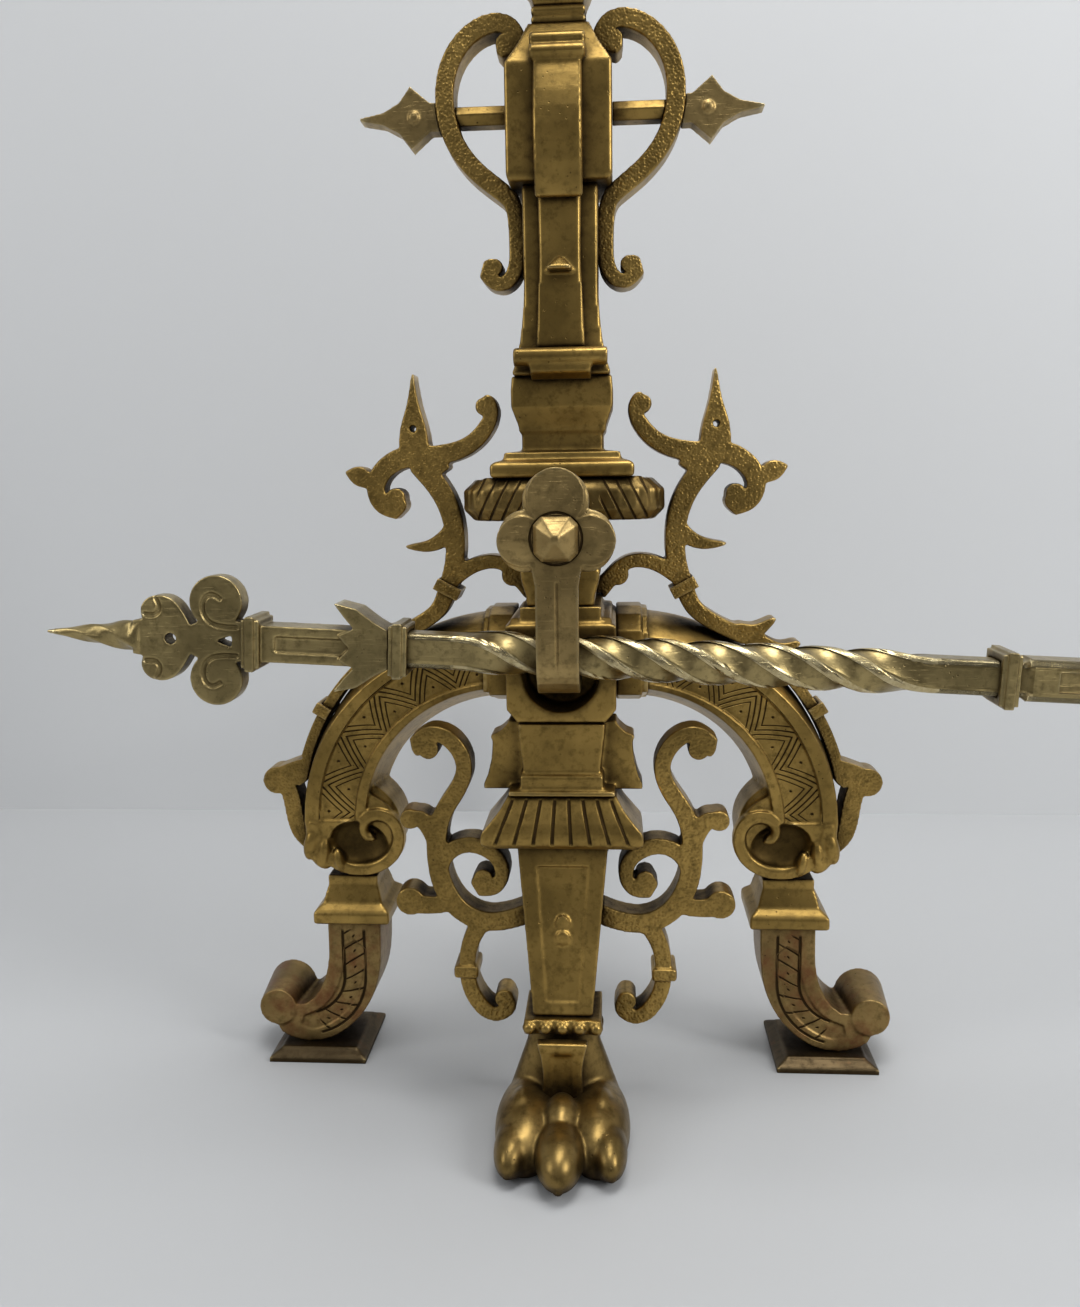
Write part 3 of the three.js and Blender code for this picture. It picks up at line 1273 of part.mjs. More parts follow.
function rearFoot() {
  const body = moulding([
    [REAR_FOOT_HALF, 0], [REAR_FOOT_HALF, 3.4], [REAR_FOOT_HALF - 3, REAR_FOOT_HEIGHT],
  ]);
  return solid(geometryOf(body).translate(0, BILLET_REACH - BILLET_SIDE / 2, 0));
}

// The bolt that holds the billet bar up against the block, with its square head below.
function billetBolt() {
  const head = blockBottom - FIT - BILLET_SIDE - FIT;
  const shank = solid(
    new THREE.CylinderGeometry(6, 6, BILLET_SIDE, 12).rotateX(Math.PI / 2)
      .translate(0, 0, head + BILLET_SIDE / 2 - 1),
  );
  return join(box(-9, 9, -9, 9, head - 9, head), shank);
}

// ---------------------------------------------------------------- assembly

const finish = (name, colour, roughness) => () => {
  const material = new THREE.MeshStandardMaterial({ color: colour, roughness, metalness: 1 });
  material.name = name;
  return material;
};
const agedBrass = finish('aged_brass', 0xa8843f, 0.42);
const polishedBrass = finish('polished_brass', 0xc7ab6c, 0.28);
const darkBrass = finish('dark_brass', 0x6b4a2c, 0.55);
const blackIron = finish('black_iron', 0x2c2a29, 0.7);

const column = new THREE.Group();
const bar = new THREE.Group();

function place(group, name, body, material) {
  const geometry = body.isBufferGeometry ? body : geometryOf(body);
  const mesh = new THREE.Mesh(geometry, material());
  mesh.name = name;
  group.add(mesh);
}

function placePair(name, body, material) {
  const right = geometryOf(body);
  place(column, `${name}_right`, right, material);
  place(column, `${name}_left`, mirrored(right), material);
}

placePair('arch_leg', archLeg(), agedBrass);
placePair('arch_collar', archCollar(), agedBrass);
placePair('knee_cap', kneeCap(), agedBrass);
placePair('side_foot', sideFoot(), darkBrass);
placePair('foot_pad', footPad(), darkBrass);
placePair('arch_leaf', archLeaf(), agedBrass);
placePair('arch_clip', archClip(), agedBrass);
placePair('leg_scroll', legScroll(), agedBrass);
placePair('ring_scroll', ringScroll(), agedBrass);
placePair('cross_rod', crossRod(), agedBrass);
placePair('arrowhead', arrowhead(), agedBrass);
placePair('wing_scroll', wingScroll(), agedBrass);
placePair('wing_clip', wingClip(), agedBrass);

place(column, 'front_block', frontBlock(), agedBrass);
place(column, 'leg_console', legConsole(), agedBrass);
place(column, 'fluted_skirt', skirt(), agedBrass);
place(column, 'leg_pilaster', legPilaster(), agedBrass);
place(column, 'bead_strip', beadStrip(), agedBrass);
place(column, 'paw_bracket', pawBracket(), agedBrass);
place(column, 'lion_paw', lionPaw(), agedBrass);
place(column, 'column_neck', columnNeck(), agedBrass);
place(column, 'gadrooned_cushion', gadroonedCushion(), agedBrass);
place(column, 'column_base', columnBase(), agedBrass);
place(column, 'column_shaft', columnShaft(), agedBrass);
place(column, 'shaft_strap', shaftStrap(), agedBrass);
place(column, 'roll_bracket', rollBracket(), agedBrass);
place(column, 'head_block', headBlock(), agedBrass);
place(column, 'head_band', headBand(), agedBrass);
place(column, 'head_collar', headCollar(), agedBrass);
place(column, 'capital', capital(), agedBrass);
place(column, 'finial', finial(), agedBrass);
place(column, 'hook_spacer', hookSpacer(), agedBrass);
place(column, 'hook', hook(), polishedBrass);
place(column, 'hook_bolt', hookBolt(), polishedBrass);
place(column, 'billet_bar', billetBar(), blackIron);
place(column, 'rear_foot', rearFoot(), blackIron);
place(column, 'billet_bolt', billetBolt(), blackIron);

const sleeves = [COLLAR_2, COLLAR_3, 2 * BAR_CENTRE - COLLAR_3, 2 * BAR_CENTRE - COLLAR_2];
sleeves.forEach((middle, i) => place(bar, `bar_collar_${i + 1}`, barSleeve(middle), polishedBrass));
place(bar, 'crossbar', crossbar(), polishedBrass);
place(bar, 'ferrule_left', ferrule(), polishedBrass);
place(bar, 'ferrule_right', flippedBar(ferrule()), polishedBrass);
place(bar, 'spearhead_left', spearhead(), polishedBrass);
place(bar, 'spearhead_right', flippedBar(spearhead()), polishedBrass);
bar.position.set(0, barY, barZ);
bar.rotation.y = THREE.MathUtils.degToRad(BAR_DROOP);
column.add(bar);

const pawCentre = (PAW_FRONT + PAW_BACK) / 2;
column.position.y = -pawCentre;

const andiron = new THREE.Group();
andiron.add(column);
andiron.updateMatrixWorld(true);

export default andiron;
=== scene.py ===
# %% [markdown]
# # A brass andiron with its crossbar
# An andiron carries the logs of an open fire. This one is old cast brass: a moulded column on a
# lion's paw and two arched legs, scroll ornament on both sides, and a twisted bar that lies in a
# hook on the column's front and runs across to the other andiron of the pair.
#
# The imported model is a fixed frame: every node already has its size and place. This lesson keeps
# those and adds what a model for machining leaves out: the soft edges of a casting, chased and
# engraved surfaces, and the finish of brass that was polished, handled and left to darken for a
# century. Everything is in metres.

import json
import math

import bpy
from mathutils import Matrix, Vector


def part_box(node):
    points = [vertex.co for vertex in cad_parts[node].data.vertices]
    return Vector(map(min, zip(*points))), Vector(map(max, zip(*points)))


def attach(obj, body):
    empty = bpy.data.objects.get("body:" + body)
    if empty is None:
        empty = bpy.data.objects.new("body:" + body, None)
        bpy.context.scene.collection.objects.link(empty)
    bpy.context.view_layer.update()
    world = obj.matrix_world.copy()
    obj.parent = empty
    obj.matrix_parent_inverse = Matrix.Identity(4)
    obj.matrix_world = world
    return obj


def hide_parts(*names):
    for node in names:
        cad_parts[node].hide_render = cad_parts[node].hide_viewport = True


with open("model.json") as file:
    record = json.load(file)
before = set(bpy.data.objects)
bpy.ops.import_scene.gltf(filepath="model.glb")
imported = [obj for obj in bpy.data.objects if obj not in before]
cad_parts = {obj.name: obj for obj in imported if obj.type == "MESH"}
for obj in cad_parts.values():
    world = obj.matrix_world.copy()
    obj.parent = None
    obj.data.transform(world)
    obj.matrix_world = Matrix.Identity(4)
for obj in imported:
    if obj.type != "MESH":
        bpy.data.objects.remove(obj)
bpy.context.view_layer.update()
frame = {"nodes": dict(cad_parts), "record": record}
nodes = frame["nodes"]
MM = 0.001

# %% [markdown]
# ## Writing materials as short programs
# Old brass changes from place to place: bright where hands and cloths reached it, brown where
# they didn't, with grain, pits and tool marks under all of it. Such a finish is a network of
# nodes. It could be built by clicking, but here two small helpers write it in code, because
# several finishes share most of it. `put` adds a node and links its inputs, and `maths` is a
# `put` for arithmetic. The others are short forms of these two.

# %% Node helpers
def put(tree, kind, inputs=None, **settings):
    """Adds a node, sets its options and links or fills its inputs, and returns its first output."""
    node = tree.nodes.new("ShaderNode" + kind)
    for name, value in settings.items():
        setattr(node, name, value)
    for name, value in (inputs or {}).items():
        socket = node.inputs[name]
        if isinstance(value, bpy.types.NodeSocket):
            tree.links.new(value, socket)
        else:
            socket.default_value = value
    return node.outputs[0]


def maths(tree, operation, *values):
    """One arithmetic node over sockets and numbers."""
    return put(tree, "Math", dict(enumerate(values)), operation=operation)


def spread(tree, value, low, high, smooth=False):
    """Maps low..high to 0..1 and stops there. The two may be given in falling order."""
    kind = "SMOOTHSTEP" if smooth else "LINEAR"
    return put(
        tree, "MapRange", {"Value": value, "From Min": low, "From Max": high},
        interpolation_type=kind, clamp=True,
    )


def blend_colour(tree, share, first, second):
    """Mixes two colours by a share from 0 to 1."""
    node = tree.nodes.new("ShaderNodeMix")
    node.data_type = "RGBA"
    for index, value in ((0, share), (6, first), (7, second)):
        if isinstance(value, bpy.types.NodeSocket):
            tree.links.new(value, node.inputs[index])
        else:
            node.inputs[index].default_value = value
    return node.outputs[2]


def speckle(tree, place, scale, detail=3.0, rough=0.55):
    """Even noise over the object, from 0 to 1. A scale of 100 makes spots of about a centimetre."""
    return put(
        tree, "TexNoise", {"Vector": place, "Scale": scale, "Detail": detail, "Roughness": rough},
    )


print("node helpers ready")

# %% [markdown]
# ## The finish of old brass
# Three things are painted on this brass. Hollows are darkened with painted shade, which the
# ambient occlusion node finds: it looks round each point for nearby metal. Edges are rubbed
# bright, which the same node finds when it looks inwards. And the flat parts are neither: they
# have blotches a few centimetres wide, a fine mottle, pits and hairline scratches. The castings'
# front faces were also roughened with a punch, while their side walls were left plain, so
# `punched` adds small round dents only where the surface faces the front.

# %% Brass
# DARK is the colour of the painted shade in hollows and grooves, and of pits, dents and engraved cuts.
DARK = (0.035, 0.021, 0.009, 1)
BRASS = (0.44, 0.285, 0.08, 1)
WORN = (0.84, 0.63, 0.28, 1)
DULL = (0.3, 0.2, 0.066, 1)
RED_TARNISH = (0.19, 0.078, 0.034, 1)
# The first reach is for the painted shade in hollows, the second for the rubbed edges.
SHADE_REACH, RUB_REACH = 14 * MM, 2.2 * MM    # how far round a point the occlusion nodes look
RELIEF = 0.6 * MM                           # the depth of a full bump
GRAIN_SCALE, PIT_SCALE, DENT_SCALE = 1500, 320.0, 820.0      # more is finer
SCRATCH_TURN, SCRATCH_STRETCH = (0.4, 0.7, 0.5), (90, 2600, 2600)
ENGRAVED = 1.6                              # an engraved line, in full bumps


def shaded(colour, share):
    """A darker colour of the same hue."""
    return [channel * share for channel in colour[:3]] + [1]


def brass(name, base=BRASS, worn=WORN, hollow_shade=1.0, edge=1.0, red=0.0, punched=0.0, scratched=0.3,
          rough=0.3, pattern=None):
    """Old brass. pattern(tree, place) may return the depth of an engraving, from 0 to 1.

    The five arguments after worn are amounts of painted shade in hollows, of rubbed edges, of red
    tarnish, of punch marks and of hairline scratches.
    """
    finish = bpy.data.materials.new(name)
    finish.use_nodes = True
    tree = finish.node_tree
    shader = tree.nodes["Principled BSDF"]
    place = tree.nodes.new("ShaderNodeTexCoord").outputs["Object"]
    blotch = speckle(tree, place, 34, 4)
    mottle = speckle(tree, place, 260, 5, 0.65)
    grain = speckle(tree, place, GRAIN_SCALE, 2)

    # Painted shade in hollows: the more metal the occlusion node finds near a point, the darker it is
    # painted.
    open_sky = put(tree, "AmbientOcclusion", {"Distance": SHADE_REACH}, samples=8)
    hollow = spread(tree, open_sky, 0.93, 0.5)
    uneven = maths(tree, "ADD", 0.65, maths(tree, "MULTIPLY", mottle, 0.7))
    deep = maths(tree, "MULTIPLY", hollow, uneven)
    rim = put(tree, "AmbientOcclusion", {"Distance": RUB_REACH}, samples=8, inside=True)
    rubbed = maths(tree, "MULTIPLY", spread(tree, rim, 0.8, 0.3), spread(tree, mottle, 0.25, 0.6))

    tint = blend_colour(tree, spread(tree, blotch, 0.35, 0.64), base, shaded(base, 0.56))
    tint = blend_colour(tree, spread(tree, mottle, 0.48, 0.72), tint, shaded(base, 0.42))
    if red:
        patch = spread(tree, speckle(tree, place, 55, 5, 0.7), 0.62 - 0.3 * red, 0.7, smooth=True)
        tint = blend_colour(tree, maths(tree, "MULTIPLY", patch, min(1.0, red + 0.2)), tint, RED_TARNISH)
    tint = blend_colour(tree, maths(tree, "MULTIPLY", rubbed, 0.75 * edge), tint, worn)
    # The painted shade in hollows, in the amount that the finish asks for.
    painted_shade_and_marks = maths(tree, "MULTIPLY", deep, 0.92 * hollow_shade)
    height = maths(tree, "MULTIPLY", grain, 0.05)
    height = maths(tree, "ADD", height, maths(tree, "MULTIPLY", mottle, 0.10))

    pits = put(tree, "TexVoronoi", {"Vector": place, "Scale": PIT_SCALE}, feature="F1")
    pit = maths(tree, "MULTIPLY", spread(tree, pits, 0.16, 0.05), spread(tree, blotch, 0.5, 0.62))
    height = maths(tree, "SUBTRACT", height, maths(tree, "MULTIPLY", pit, 0.35))
    painted_shade_and_marks = maths(tree, "MAXIMUM", painted_shade_and_marks, maths(tree, "MULTIPLY", pit, 0.8))

    if scratched:
        wander = put(tree, "Mapping", {
            "Vector": place, "Rotation": SCRATCH_TURN, "Scale": SCRATCH_STRETCH,
        })
        hair = spread(tree, speckle(tree, wander, 1, 2), 0.6, 0.72)
        height = maths(tree, "SUBTRACT", height, maths(tree, "MULTIPLY", hair, 0.10 * scratched))
    if punched:
        front = facing_front(tree, 0.8, 0.97)
        dents = put(
            tree, "TexVoronoi", {"Vector": place, "Scale": DENT_SCALE, "Randomness": 0.9},
            feature="SMOOTH_F1",
        )
        dent = maths(tree, "MULTIPLY", spread(tree, dents, 0.55, 0.15), front)
        height = maths(tree, "SUBTRACT", height, maths(tree, "MULTIPLY", dent, 0.55 * punched))
        painted_shade_and_marks = maths(tree, "MAXIMUM", painted_shade_and_marks, maths(tree, "MULTIPLY", dent, 0.22 * punched))
    # A pattern's lines are darkened as well: painted shade in their grooves, with dark fill in engraved
    # cuts.
    if pattern:
        cut_in = pattern(tree, place)
        height = maths(tree, "SUBTRACT", height, maths(tree, "MULTIPLY", cut_in, ENGRAVED))
        painted_shade_and_marks = maths(tree, "MAXIMUM", painted_shade_and_marks, maths(tree, "MULTIPLY", cut_in, 0.95))

    # The painted shade and the dark marks turn the colour towards DARK here.
    colour = blend_colour(tree, painted_shade_and_marks, tint, DARK)
    tree.links.new(colour, shader.inputs["Base Color"])
    shader.inputs["Metallic"].default_value = 1.0
    gloss = maths(tree, "ADD", rough, maths(tree, "MULTIPLY", mottle, 0.12))
    gloss = maths(tree, "ADD", gloss, maths(tree, "MULTIPLY", painted_shade_and_marks, 0.28))
    gloss = maths(tree, "SUBTRACT", gloss, maths(tree, "MULTIPLY", rubbed, 0.1))
    tree.links.new(gloss, shader.inputs["Roughness"])
    relief = put(tree, "Bump", {"Height": height, "Strength": 0.8, "Distance": RELIEF})
    tree.links.new(relief, shader.inputs["Normal"])
    return finish


def facing_front(tree, low=0.75, high=0.9):
    """1 where the surface faces the front of the object, 0 where it turns away from it."""
    coordinates = tree.nodes.new("ShaderNodeTexCoord")
    parts = tree.nodes.new("ShaderNodeSeparateXYZ")
    tree.links.new(coordinates.outputs["Normal"], parts.inputs["Vector"])
    return spread(tree, maths(tree, "MULTIPLY", parts.outputs["Y"], -1), low, high)


def in_groove(tree, distance, half):
    """1 on a line that is cut into the metal, 0 beside it. Half is half the line's width."""
    return spread(tree, distance, half, 0.4 * half, smooth=True)


def away_from(tree, value, target):
    """How far a value is from a target, without its sign."""
    return maths(tree, "ABSOLUTE", maths(tree, "SUBTRACT", value, target))


def distance(tree, first, second):
    """The long side of a right triangle."""
    return maths(tree, "SQRT", maths(
        tree, "ADD", maths(tree, "POWER", first, 2), maths(tree, "POWER", second, 2)))


def within(tree, *limits):
    """1 where every (value, none, full) has reached full, 0 where one hasn't passed none."""
    inside = spread(tree, *limits[0])
    for limit in limits[1:]:
        inside = maths(tree, "MULTIPLY", inside, spread(tree, *limit))
    return inside


def millimetres(tree, place):
    """The object's own coordinates as three numbers in millimetres, X without its sign."""
    parts = tree.nodes.new("ShaderNodeSeparateXYZ")
    tree.links.new(place, parts.inputs["Vector"])
    x, y, z = (maths(tree, "DIVIDE", parts.outputs[axis], MM) for axis in "XYZ")
    return maths(tree, "ABSOLUTE", x), y, z


plain_brass = brass("brass_plain")
dull_brass = brass("brass_dull", base=DULL, edge=0.8)
punched_brass = brass("brass_punched", punched=1.0)
print("three brass finishes")

# %% [markdown]
# ## The other finishes
# The bar is handled most, so it is lighter, smoother and more scratched. The feet stand in the
# ash and have gone reddish brown. Behind the column everything is black iron.

# %% Bar, feet and iron
bar_brass = brass(
    "brass_bar", base=(0.45, 0.345, 0.15, 1), worn=(0.82, 0.7, 0.42, 1), hollow_shade=0.8, edge=0.8,
    scratched=1.0, rough=0.25,
)
pad_brass = brass("brass_pad", base=(0.11, 0.078, 0.04, 1), red=0.2, edge=1.4)


def iron(name):
    """Black iron with soot and a little rust."""
    finish = bpy.data.materials.new(name)
    finish.use_nodes = True
    tree = finish.node_tree
    shader = tree.nodes["Principled BSDF"]
    place = tree.nodes.new("ShaderNodeTexCoord").outputs["Object"]
    scale = speckle(tree, place, 120, 6, 0.7)
    rust = spread(tree, speckle(tree, place, 45, 5, 0.7), 0.55, 0.72)
    colour = blend_colour(tree, scale, (0.012, 0.012, 0.013, 1), (0.035, 0.033, 0.032, 1))
    colour = blend_colour(tree, maths(tree, "MULTIPLY", rust, 0.4), colour, (0.06, 0.026, 0.014, 1))
    tree.links.new(colour, shader.inputs["Base Color"])
    shader.inputs["Metallic"].default_value = 0.6
    rough = maths(tree, "ADD", 0.45, maths(tree, "MULTIPLY", scale, 0.3))
    tree.links.new(rough, shader.inputs["Roughness"])
    relief = put(tree, "Bump", {"Height": scale, "Strength": 0.6, "Distance": 0.8 * MM})
    tree.links.new(relief, shader.inputs["Normal"])
    return finish


black_iron = iron("iron_black")
print("bar, feet and iron")

# %% [markdown]
# ## Engraving on the arched legs
# The front of each arch carries a common zigzag border: a band between two cut lines, with a
# third line and a punched dot inside each triangle. Cutting a hundred grooves into the mesh
# would work, but they are only half a millimetre deep, so bump and a dark colour show them as
# well: painted shade in the grooves, with dark fill in the cuts. The pattern is arithmetic on
# polar coordinates about the arch's centre: a triangle wave of the angle gives the middle of the
# band, and the distance to it gives the lines. Painted shade in the bowl below the border is
# part of the same finish.

# %% Zigzag
ARCH_CENTRE_X, ARCH_CENTRE_Z = 30, 125      # millimetres, like all lengths of these patterns
FIELD_INNER_RADIUS, FIELD_WIDTH = 76, 18.4
FIELD_NARROWS = 5.6                         # how much smaller both radii are at the top
TEETH_PITCH = 17.1                          # degrees from one tooth to the next
FIRST_TOOTH = 11.6
TOOTH_WIDTH = 12.8
BAND_LOW, BAND_SWING = 0.94, 0.88           # shares of the field's width
BAND_SLOPE = 11.6                           # the field's width seen square to the band
BAND_HALF, INNER_LINE = 1.25, 3.7
DOTS = ((1, 0.74), (0, 0.26))               # which end of a tooth, and how far across the field
DOT_RADIUS = 0.95
# The bowl below is carved into the mesh and given painted shade by the arch's finish.
BOWL_X, BOWL_Z = 104.4, 113.6               # the dark bowl in the rolled end below the border


def zigzag_border(tree, place):
    """The border between its two edge lines, on the front face only, and painted shade in the bowl."""
    x, y, z = millimetres(tree, place)
    across = maths(tree, "SUBTRACT", x, ARCH_CENTRE_X)
    up = maths(tree, "SUBTRACT", z, ARCH_CENTRE_Z)
    radius = distance(tree, across, up)
    angle = maths(tree, "DEGREES", maths(tree, "ARCTAN2", up, across))
    rise = maths(tree, "POWER", maths(tree, "SINE", maths(tree, "RADIANS", angle)), 2)
    narrowed = maths(tree, "MULTIPLY", rise, FIELD_NARROWS)
    inner = maths(tree, "SUBTRACT", FIELD_INNER_RADIUS, narrowed)
    share = maths(tree, "DIVIDE", maths(tree, "SUBTRACT", radius, inner), FIELD_WIDTH)
    wave = maths(tree, "PINGPONG", maths(tree, "SUBTRACT", angle, FIRST_TOOTH), TEETH_PITCH / 2)
    tooth = maths(tree, "DIVIDE", wave, TEETH_PITCH / 2)
    middle = maths(tree, "SUBTRACT", BAND_LOW, maths(tree, "MULTIPLY", tooth, BAND_SWING))
    away = maths(tree, "MULTIPLY", away_from(tree, share, middle), BAND_SLOPE)
    lines = in_groove(tree, away_from(tree, away, BAND_HALF), 0.52)
    lines = maths(tree, "MAXIMUM", lines, in_groove(tree, away_from(tree, away, INNER_LINE), 0.44))
    for tooth_end, level in DOTS:
        sideways = maths(tree, "MULTIPLY", away_from(tree, tooth, tooth_end), TOOTH_WIDTH)
        outwards = maths(tree, "MULTIPLY", maths(tree, "SUBTRACT", share, level), FIELD_WIDTH)
        dot = in_groove(tree, distance(tree, sideways, outwards), DOT_RADIUS)
        lines = maths(tree, "MAXIMUM", lines, dot)
    inside = within(tree, (share, 0.0, 0.02), (share, 1.0, 0.98), (angle, 0.4, 1.0), (angle, 87.5, 86.5))
    lines = maths(tree, "MULTIPLY", lines, inside)
    edges = in_groove(tree, away_from(tree, away_from(tree, share, 0.5), 0.49), 0.022)
    edges = maths(tree, "MULTIPLY", edges, within(tree, (angle, 0, 1), (angle, 88, 87)))
    lines = maths(tree, "MAXIMUM", lines, edges)
    lines = maths(tree, "MULTIPLY", lines, facing_front(tree))
    # Painted shade in the bowl of the rolled end.
    from_bowl = distance(
        tree, maths(tree, "SUBTRACT", x, BOWL_X), maths(tree, "SUBTRACT", z, BOWL_Z),
    )
    painted_bowl_shade = within(tree, (y, 80.8, 83.6), (from_bowl, 16, 14))
    return maths(tree, "MAXIMUM", lines, maths(tree, "MULTIPLY", painted_bowl_shade, 0.8))


arch_brass = brass("brass_arch", pattern=zigzag_border)
print("zigzag border", TEETH_PITCH, "degrees a tooth")

# %% [markdown]
# ## Engraving on the feet
# The J-shaped feet have a simpler border in their sunk band: slanting cuts with a dot between
# them. It follows the J, so its coordinates do too: straight down the stem, then round a circle.

# %% Foot border
FOOT_CENTRE_X, FOOT_CENTRE_Z, FOOT_RADIUS = 136.5, 43, 27
SLANT_PITCH, SLANT = 8.6, 0.62
RAIL_AT = 5.5                               # the two lines beside the band, from its middle
FOOT_TOP, FOOT_TIP = 35, -25                # where the band ends, along the J


def foot_border(tree, place):
    """Slanting cuts with dots between them, and a rail on each side."""
    x, y, z = millimetres(tree, place)
    outwards = maths(tree, "SUBTRACT", FOOT_CENTRE_X, x)
    below = maths(tree, "MAXIMUM", maths(tree, "SUBTRACT", FOOT_CENTRE_Z, z), 0)
    above = maths(tree, "MAXIMUM", maths(tree, "SUBTRACT", z, FOOT_CENTRE_Z), 0)
    across = maths(tree, "SUBTRACT", distance(tree, outwards, below), FOOT_RADIUS)
    round_bend = maths(tree, "MULTIPLY", maths(tree, "ARCTAN2", below, outwards), FOOT_RADIUS)
    along = maths(tree, "SUBTRACT", round_bend, above)
    slanted = maths(tree, "ADD", along, maths(tree, "MULTIPLY", across, SLANT))
    cut = maths(tree, "PINGPONG", slanted, SLANT_PITCH / 2)
    lines = in_groove(tree, cut, 0.75)
    dots = distance(tree, away_from(tree, cut, SLANT_PITCH / 2), across)
    lines = maths(tree, "MAXIMUM", lines, in_groove(tree, dots, 0.85))
    off_middle = maths(tree, "ABSOLUTE", across)
    tip = (along, FOOT_TIP, FOOT_TIP + 1)
    band = within(tree, (off_middle, 5.4, 5.0), tip, (along, FOOT_TOP, FOOT_TOP - 1))
    rails = in_groove(tree, away_from(tree, off_middle, RAIL_AT), 0.95)
    rails = maths(tree, "MULTIPLY", rails, within(tree, tip, (along, FOOT_TOP + 1, FOOT_TOP)))
    lines = maths(tree, "MAXIMUM", maths(tree, "MULTIPLY", lines, band), rails)
    return maths(tree, "MULTIPLY", lines, facing_front(tree))


foot_brass = brass("brass_foot", base=(0.36, 0.24, 0.09, 1), red=0.62, rough=0.34, pattern=foot_border)
print("foot border", SLANT_PITCH, "mm a cut")

# %% [markdown]
# ## Painted shade in the skirt's flutes
# The flutes of the skirt under the console are cut into its mesh further on, and their finish
# paints shade into them as well. They spread downwards like a fan, so their lines are X over a
# width that grows.

# %% Flutes
FLUTE_TOP_Z, FLUTE_TOP_PITCH, FLUTE_SPREAD = 151, 6.3, 0.115
FLUTE_FOOT_Z, FLUTE_FACE_Y = 131, 37


def flute_lines(tree, place):
    """Four lines of painted shade on each side of the middle, half a pitch off it."""
    x, y, z = millimetres(tree, place)
    drop = maths(tree, "SUBTRACT", FLUTE_TOP_Z, z)
    pitch = maths(tree, "ADD", FLUTE_TOP_PITCH, maths(tree, "MULTIPLY", drop, FLUTE_SPREAD))
    lane = maths(tree, "DIVIDE", x, pitch)
    off_lane = maths(tree, "SUBTRACT", 0.5, maths(tree, "PINGPONG", lane, 0.5))
    # These lines are painted shade in the flutes.
    lines = in_groove(tree, maths(tree, "MULTIPLY", off_lane, pitch), 1.0)
    inside = within(
        tree, (lane, 3.9, 3.75), (z, FLUTE_TOP_Z + 0.4, FLUTE_TOP_Z - 0.6),
        (z, FLUTE_FOOT_Z, FLUTE_FOOT_Z + 1.5), (y, FLUTE_FACE_Y, FLUTE_FACE_Y - 1.5),
    )
    return maths(tree, "MULTIPLY", lines, inside)


skirt_brass = brass("brass_skirt", pattern=flute_lines)
print("flutes", FLUTE_TOP_PITCH, "mm apart at the top")

# %% [markdown]
# ## Rope grooves on the cushion
# The cushion under the column base is chased with slanting grooves on both sides of the hook, so
# that it looks like two turns of rope. They lean the other way on the left.

# %% Cushion
ROPE_PITCH, ROPE_LEAN = 5.8, 0.5
ROPE_FROM, ROPE_TO = 17, 40
CUSHION_MIDDLE_Z, CUSHION_FACE_Y = 284, 76


def rope_lines(tree, place):
    """Slanting lines on the front of the cushion. X has no sign, so the left mirrors the right."""
    x, y, z = millimetres(tree, place)
    climb = maths(tree, "SUBTRACT", z, CUSHION_MIDDLE_Z)
    slanted = maths(tree, "ADD", x, maths(tree, "MULTIPLY", climb, ROPE_LEAN))
    lines = in_groove(tree, maths(tree, "PINGPONG", slanted, ROPE_PITCH / 2), 0.85)
    inside = within(
        tree, (x, ROPE_FROM, ROPE_FROM + 1), (x, ROPE_TO, ROPE_TO - 1),
        (y, CUSHION_FACE_Y, CUSHION_FACE_Y - 2),
    )
    return maths(tree, "MULTIPLY", lines, inside)


cushion_brass = brass("brass_cushion", base=DULL, edge=0.8, pattern=rope_lines)
print("rope grooves", ROPE_PITCH, "mm apart")

# %% [markdown]
# ## The ring round the hook's bolt
# The bolt has turned against the trefoil plate and worn a ring into it. It is a circle, so its
# pattern is one distance.

# %% Bolt ring
BOLT_RING = 10.6
BOLT_Z = sum(corner[2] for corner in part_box("hook_bolt")) / 2 / MM


def bolt_ring(tree, place):
    """A circle about the bolt's axis."""
    x, y, z = millimetres(tree, place)
    apart = distance(tree, x, maths(tree, "SUBTRACT", z, BOLT_Z))
    ring = in_groove(tree, away_from(tree, apart, BOLT_RING), 0.8)
    return maths(tree, "MULTIPLY", ring, facing_front(tree))


hook_brass = brass(
    "brass_hook", base=(0.46, 0.325, 0.13, 1), worn=(0.78, 0.66, 0.38, 1), scratched=1.0,
    rough=0.33, pattern=bolt_ring,
)
print("bolt ring", BOLT_RING, "mm")

# %% [markdown]
# ## Turning a faceted solid into a casting
# The frame's nodes are exact but hard: straight facets and knife edges. A real casting has
# flowing outlines and soft edges, because the sand mould rounds them and polishing rounds them
# again. It could be carved by hand, piece by piece. Here each piece is made from its own node,
# so that it stays in its place. A copy is merged, its sharp edges are creased and the mesh is
# subdivided, which turns each faceted outline into a smooth line and keeps the flat faces flat.
# That draws thin strokes in a little, so the piece can be swelled by some tenths of a
# millimetre. A voxel remesh lays an even skin over the result, and a few rounds of smoothing
# melt the edges.

# %% Casting helpers
MERGE = 0.01 * MM           # vertices closer than this become one
FINE_MERGE = 0.001 * MM     # the same, for level cuts and wires
CORNER = 52                 # degrees: edges sharper than this stay sharp
SOLE = 0.02                 # millimetres: castings that stand on the floor are cut off here


def only(piece):
    """Makes one object the only selected one, and the active one."""
    bpy.ops.object.select_all(action="DESELECT")
    piece.select_set(True)
    bpy.context.view_layer.objects.active = piece


def edit(piece, *steps):
    """Runs edit mode steps on the whole of a piece."""
    only(piece)
    bpy.ops.object.mode_set(mode="EDIT")
    bpy.ops.mesh.select_all(action="SELECT")
    for step in steps:
        step()
    bpy.ops.object.mode_set(mode="OBJECT")


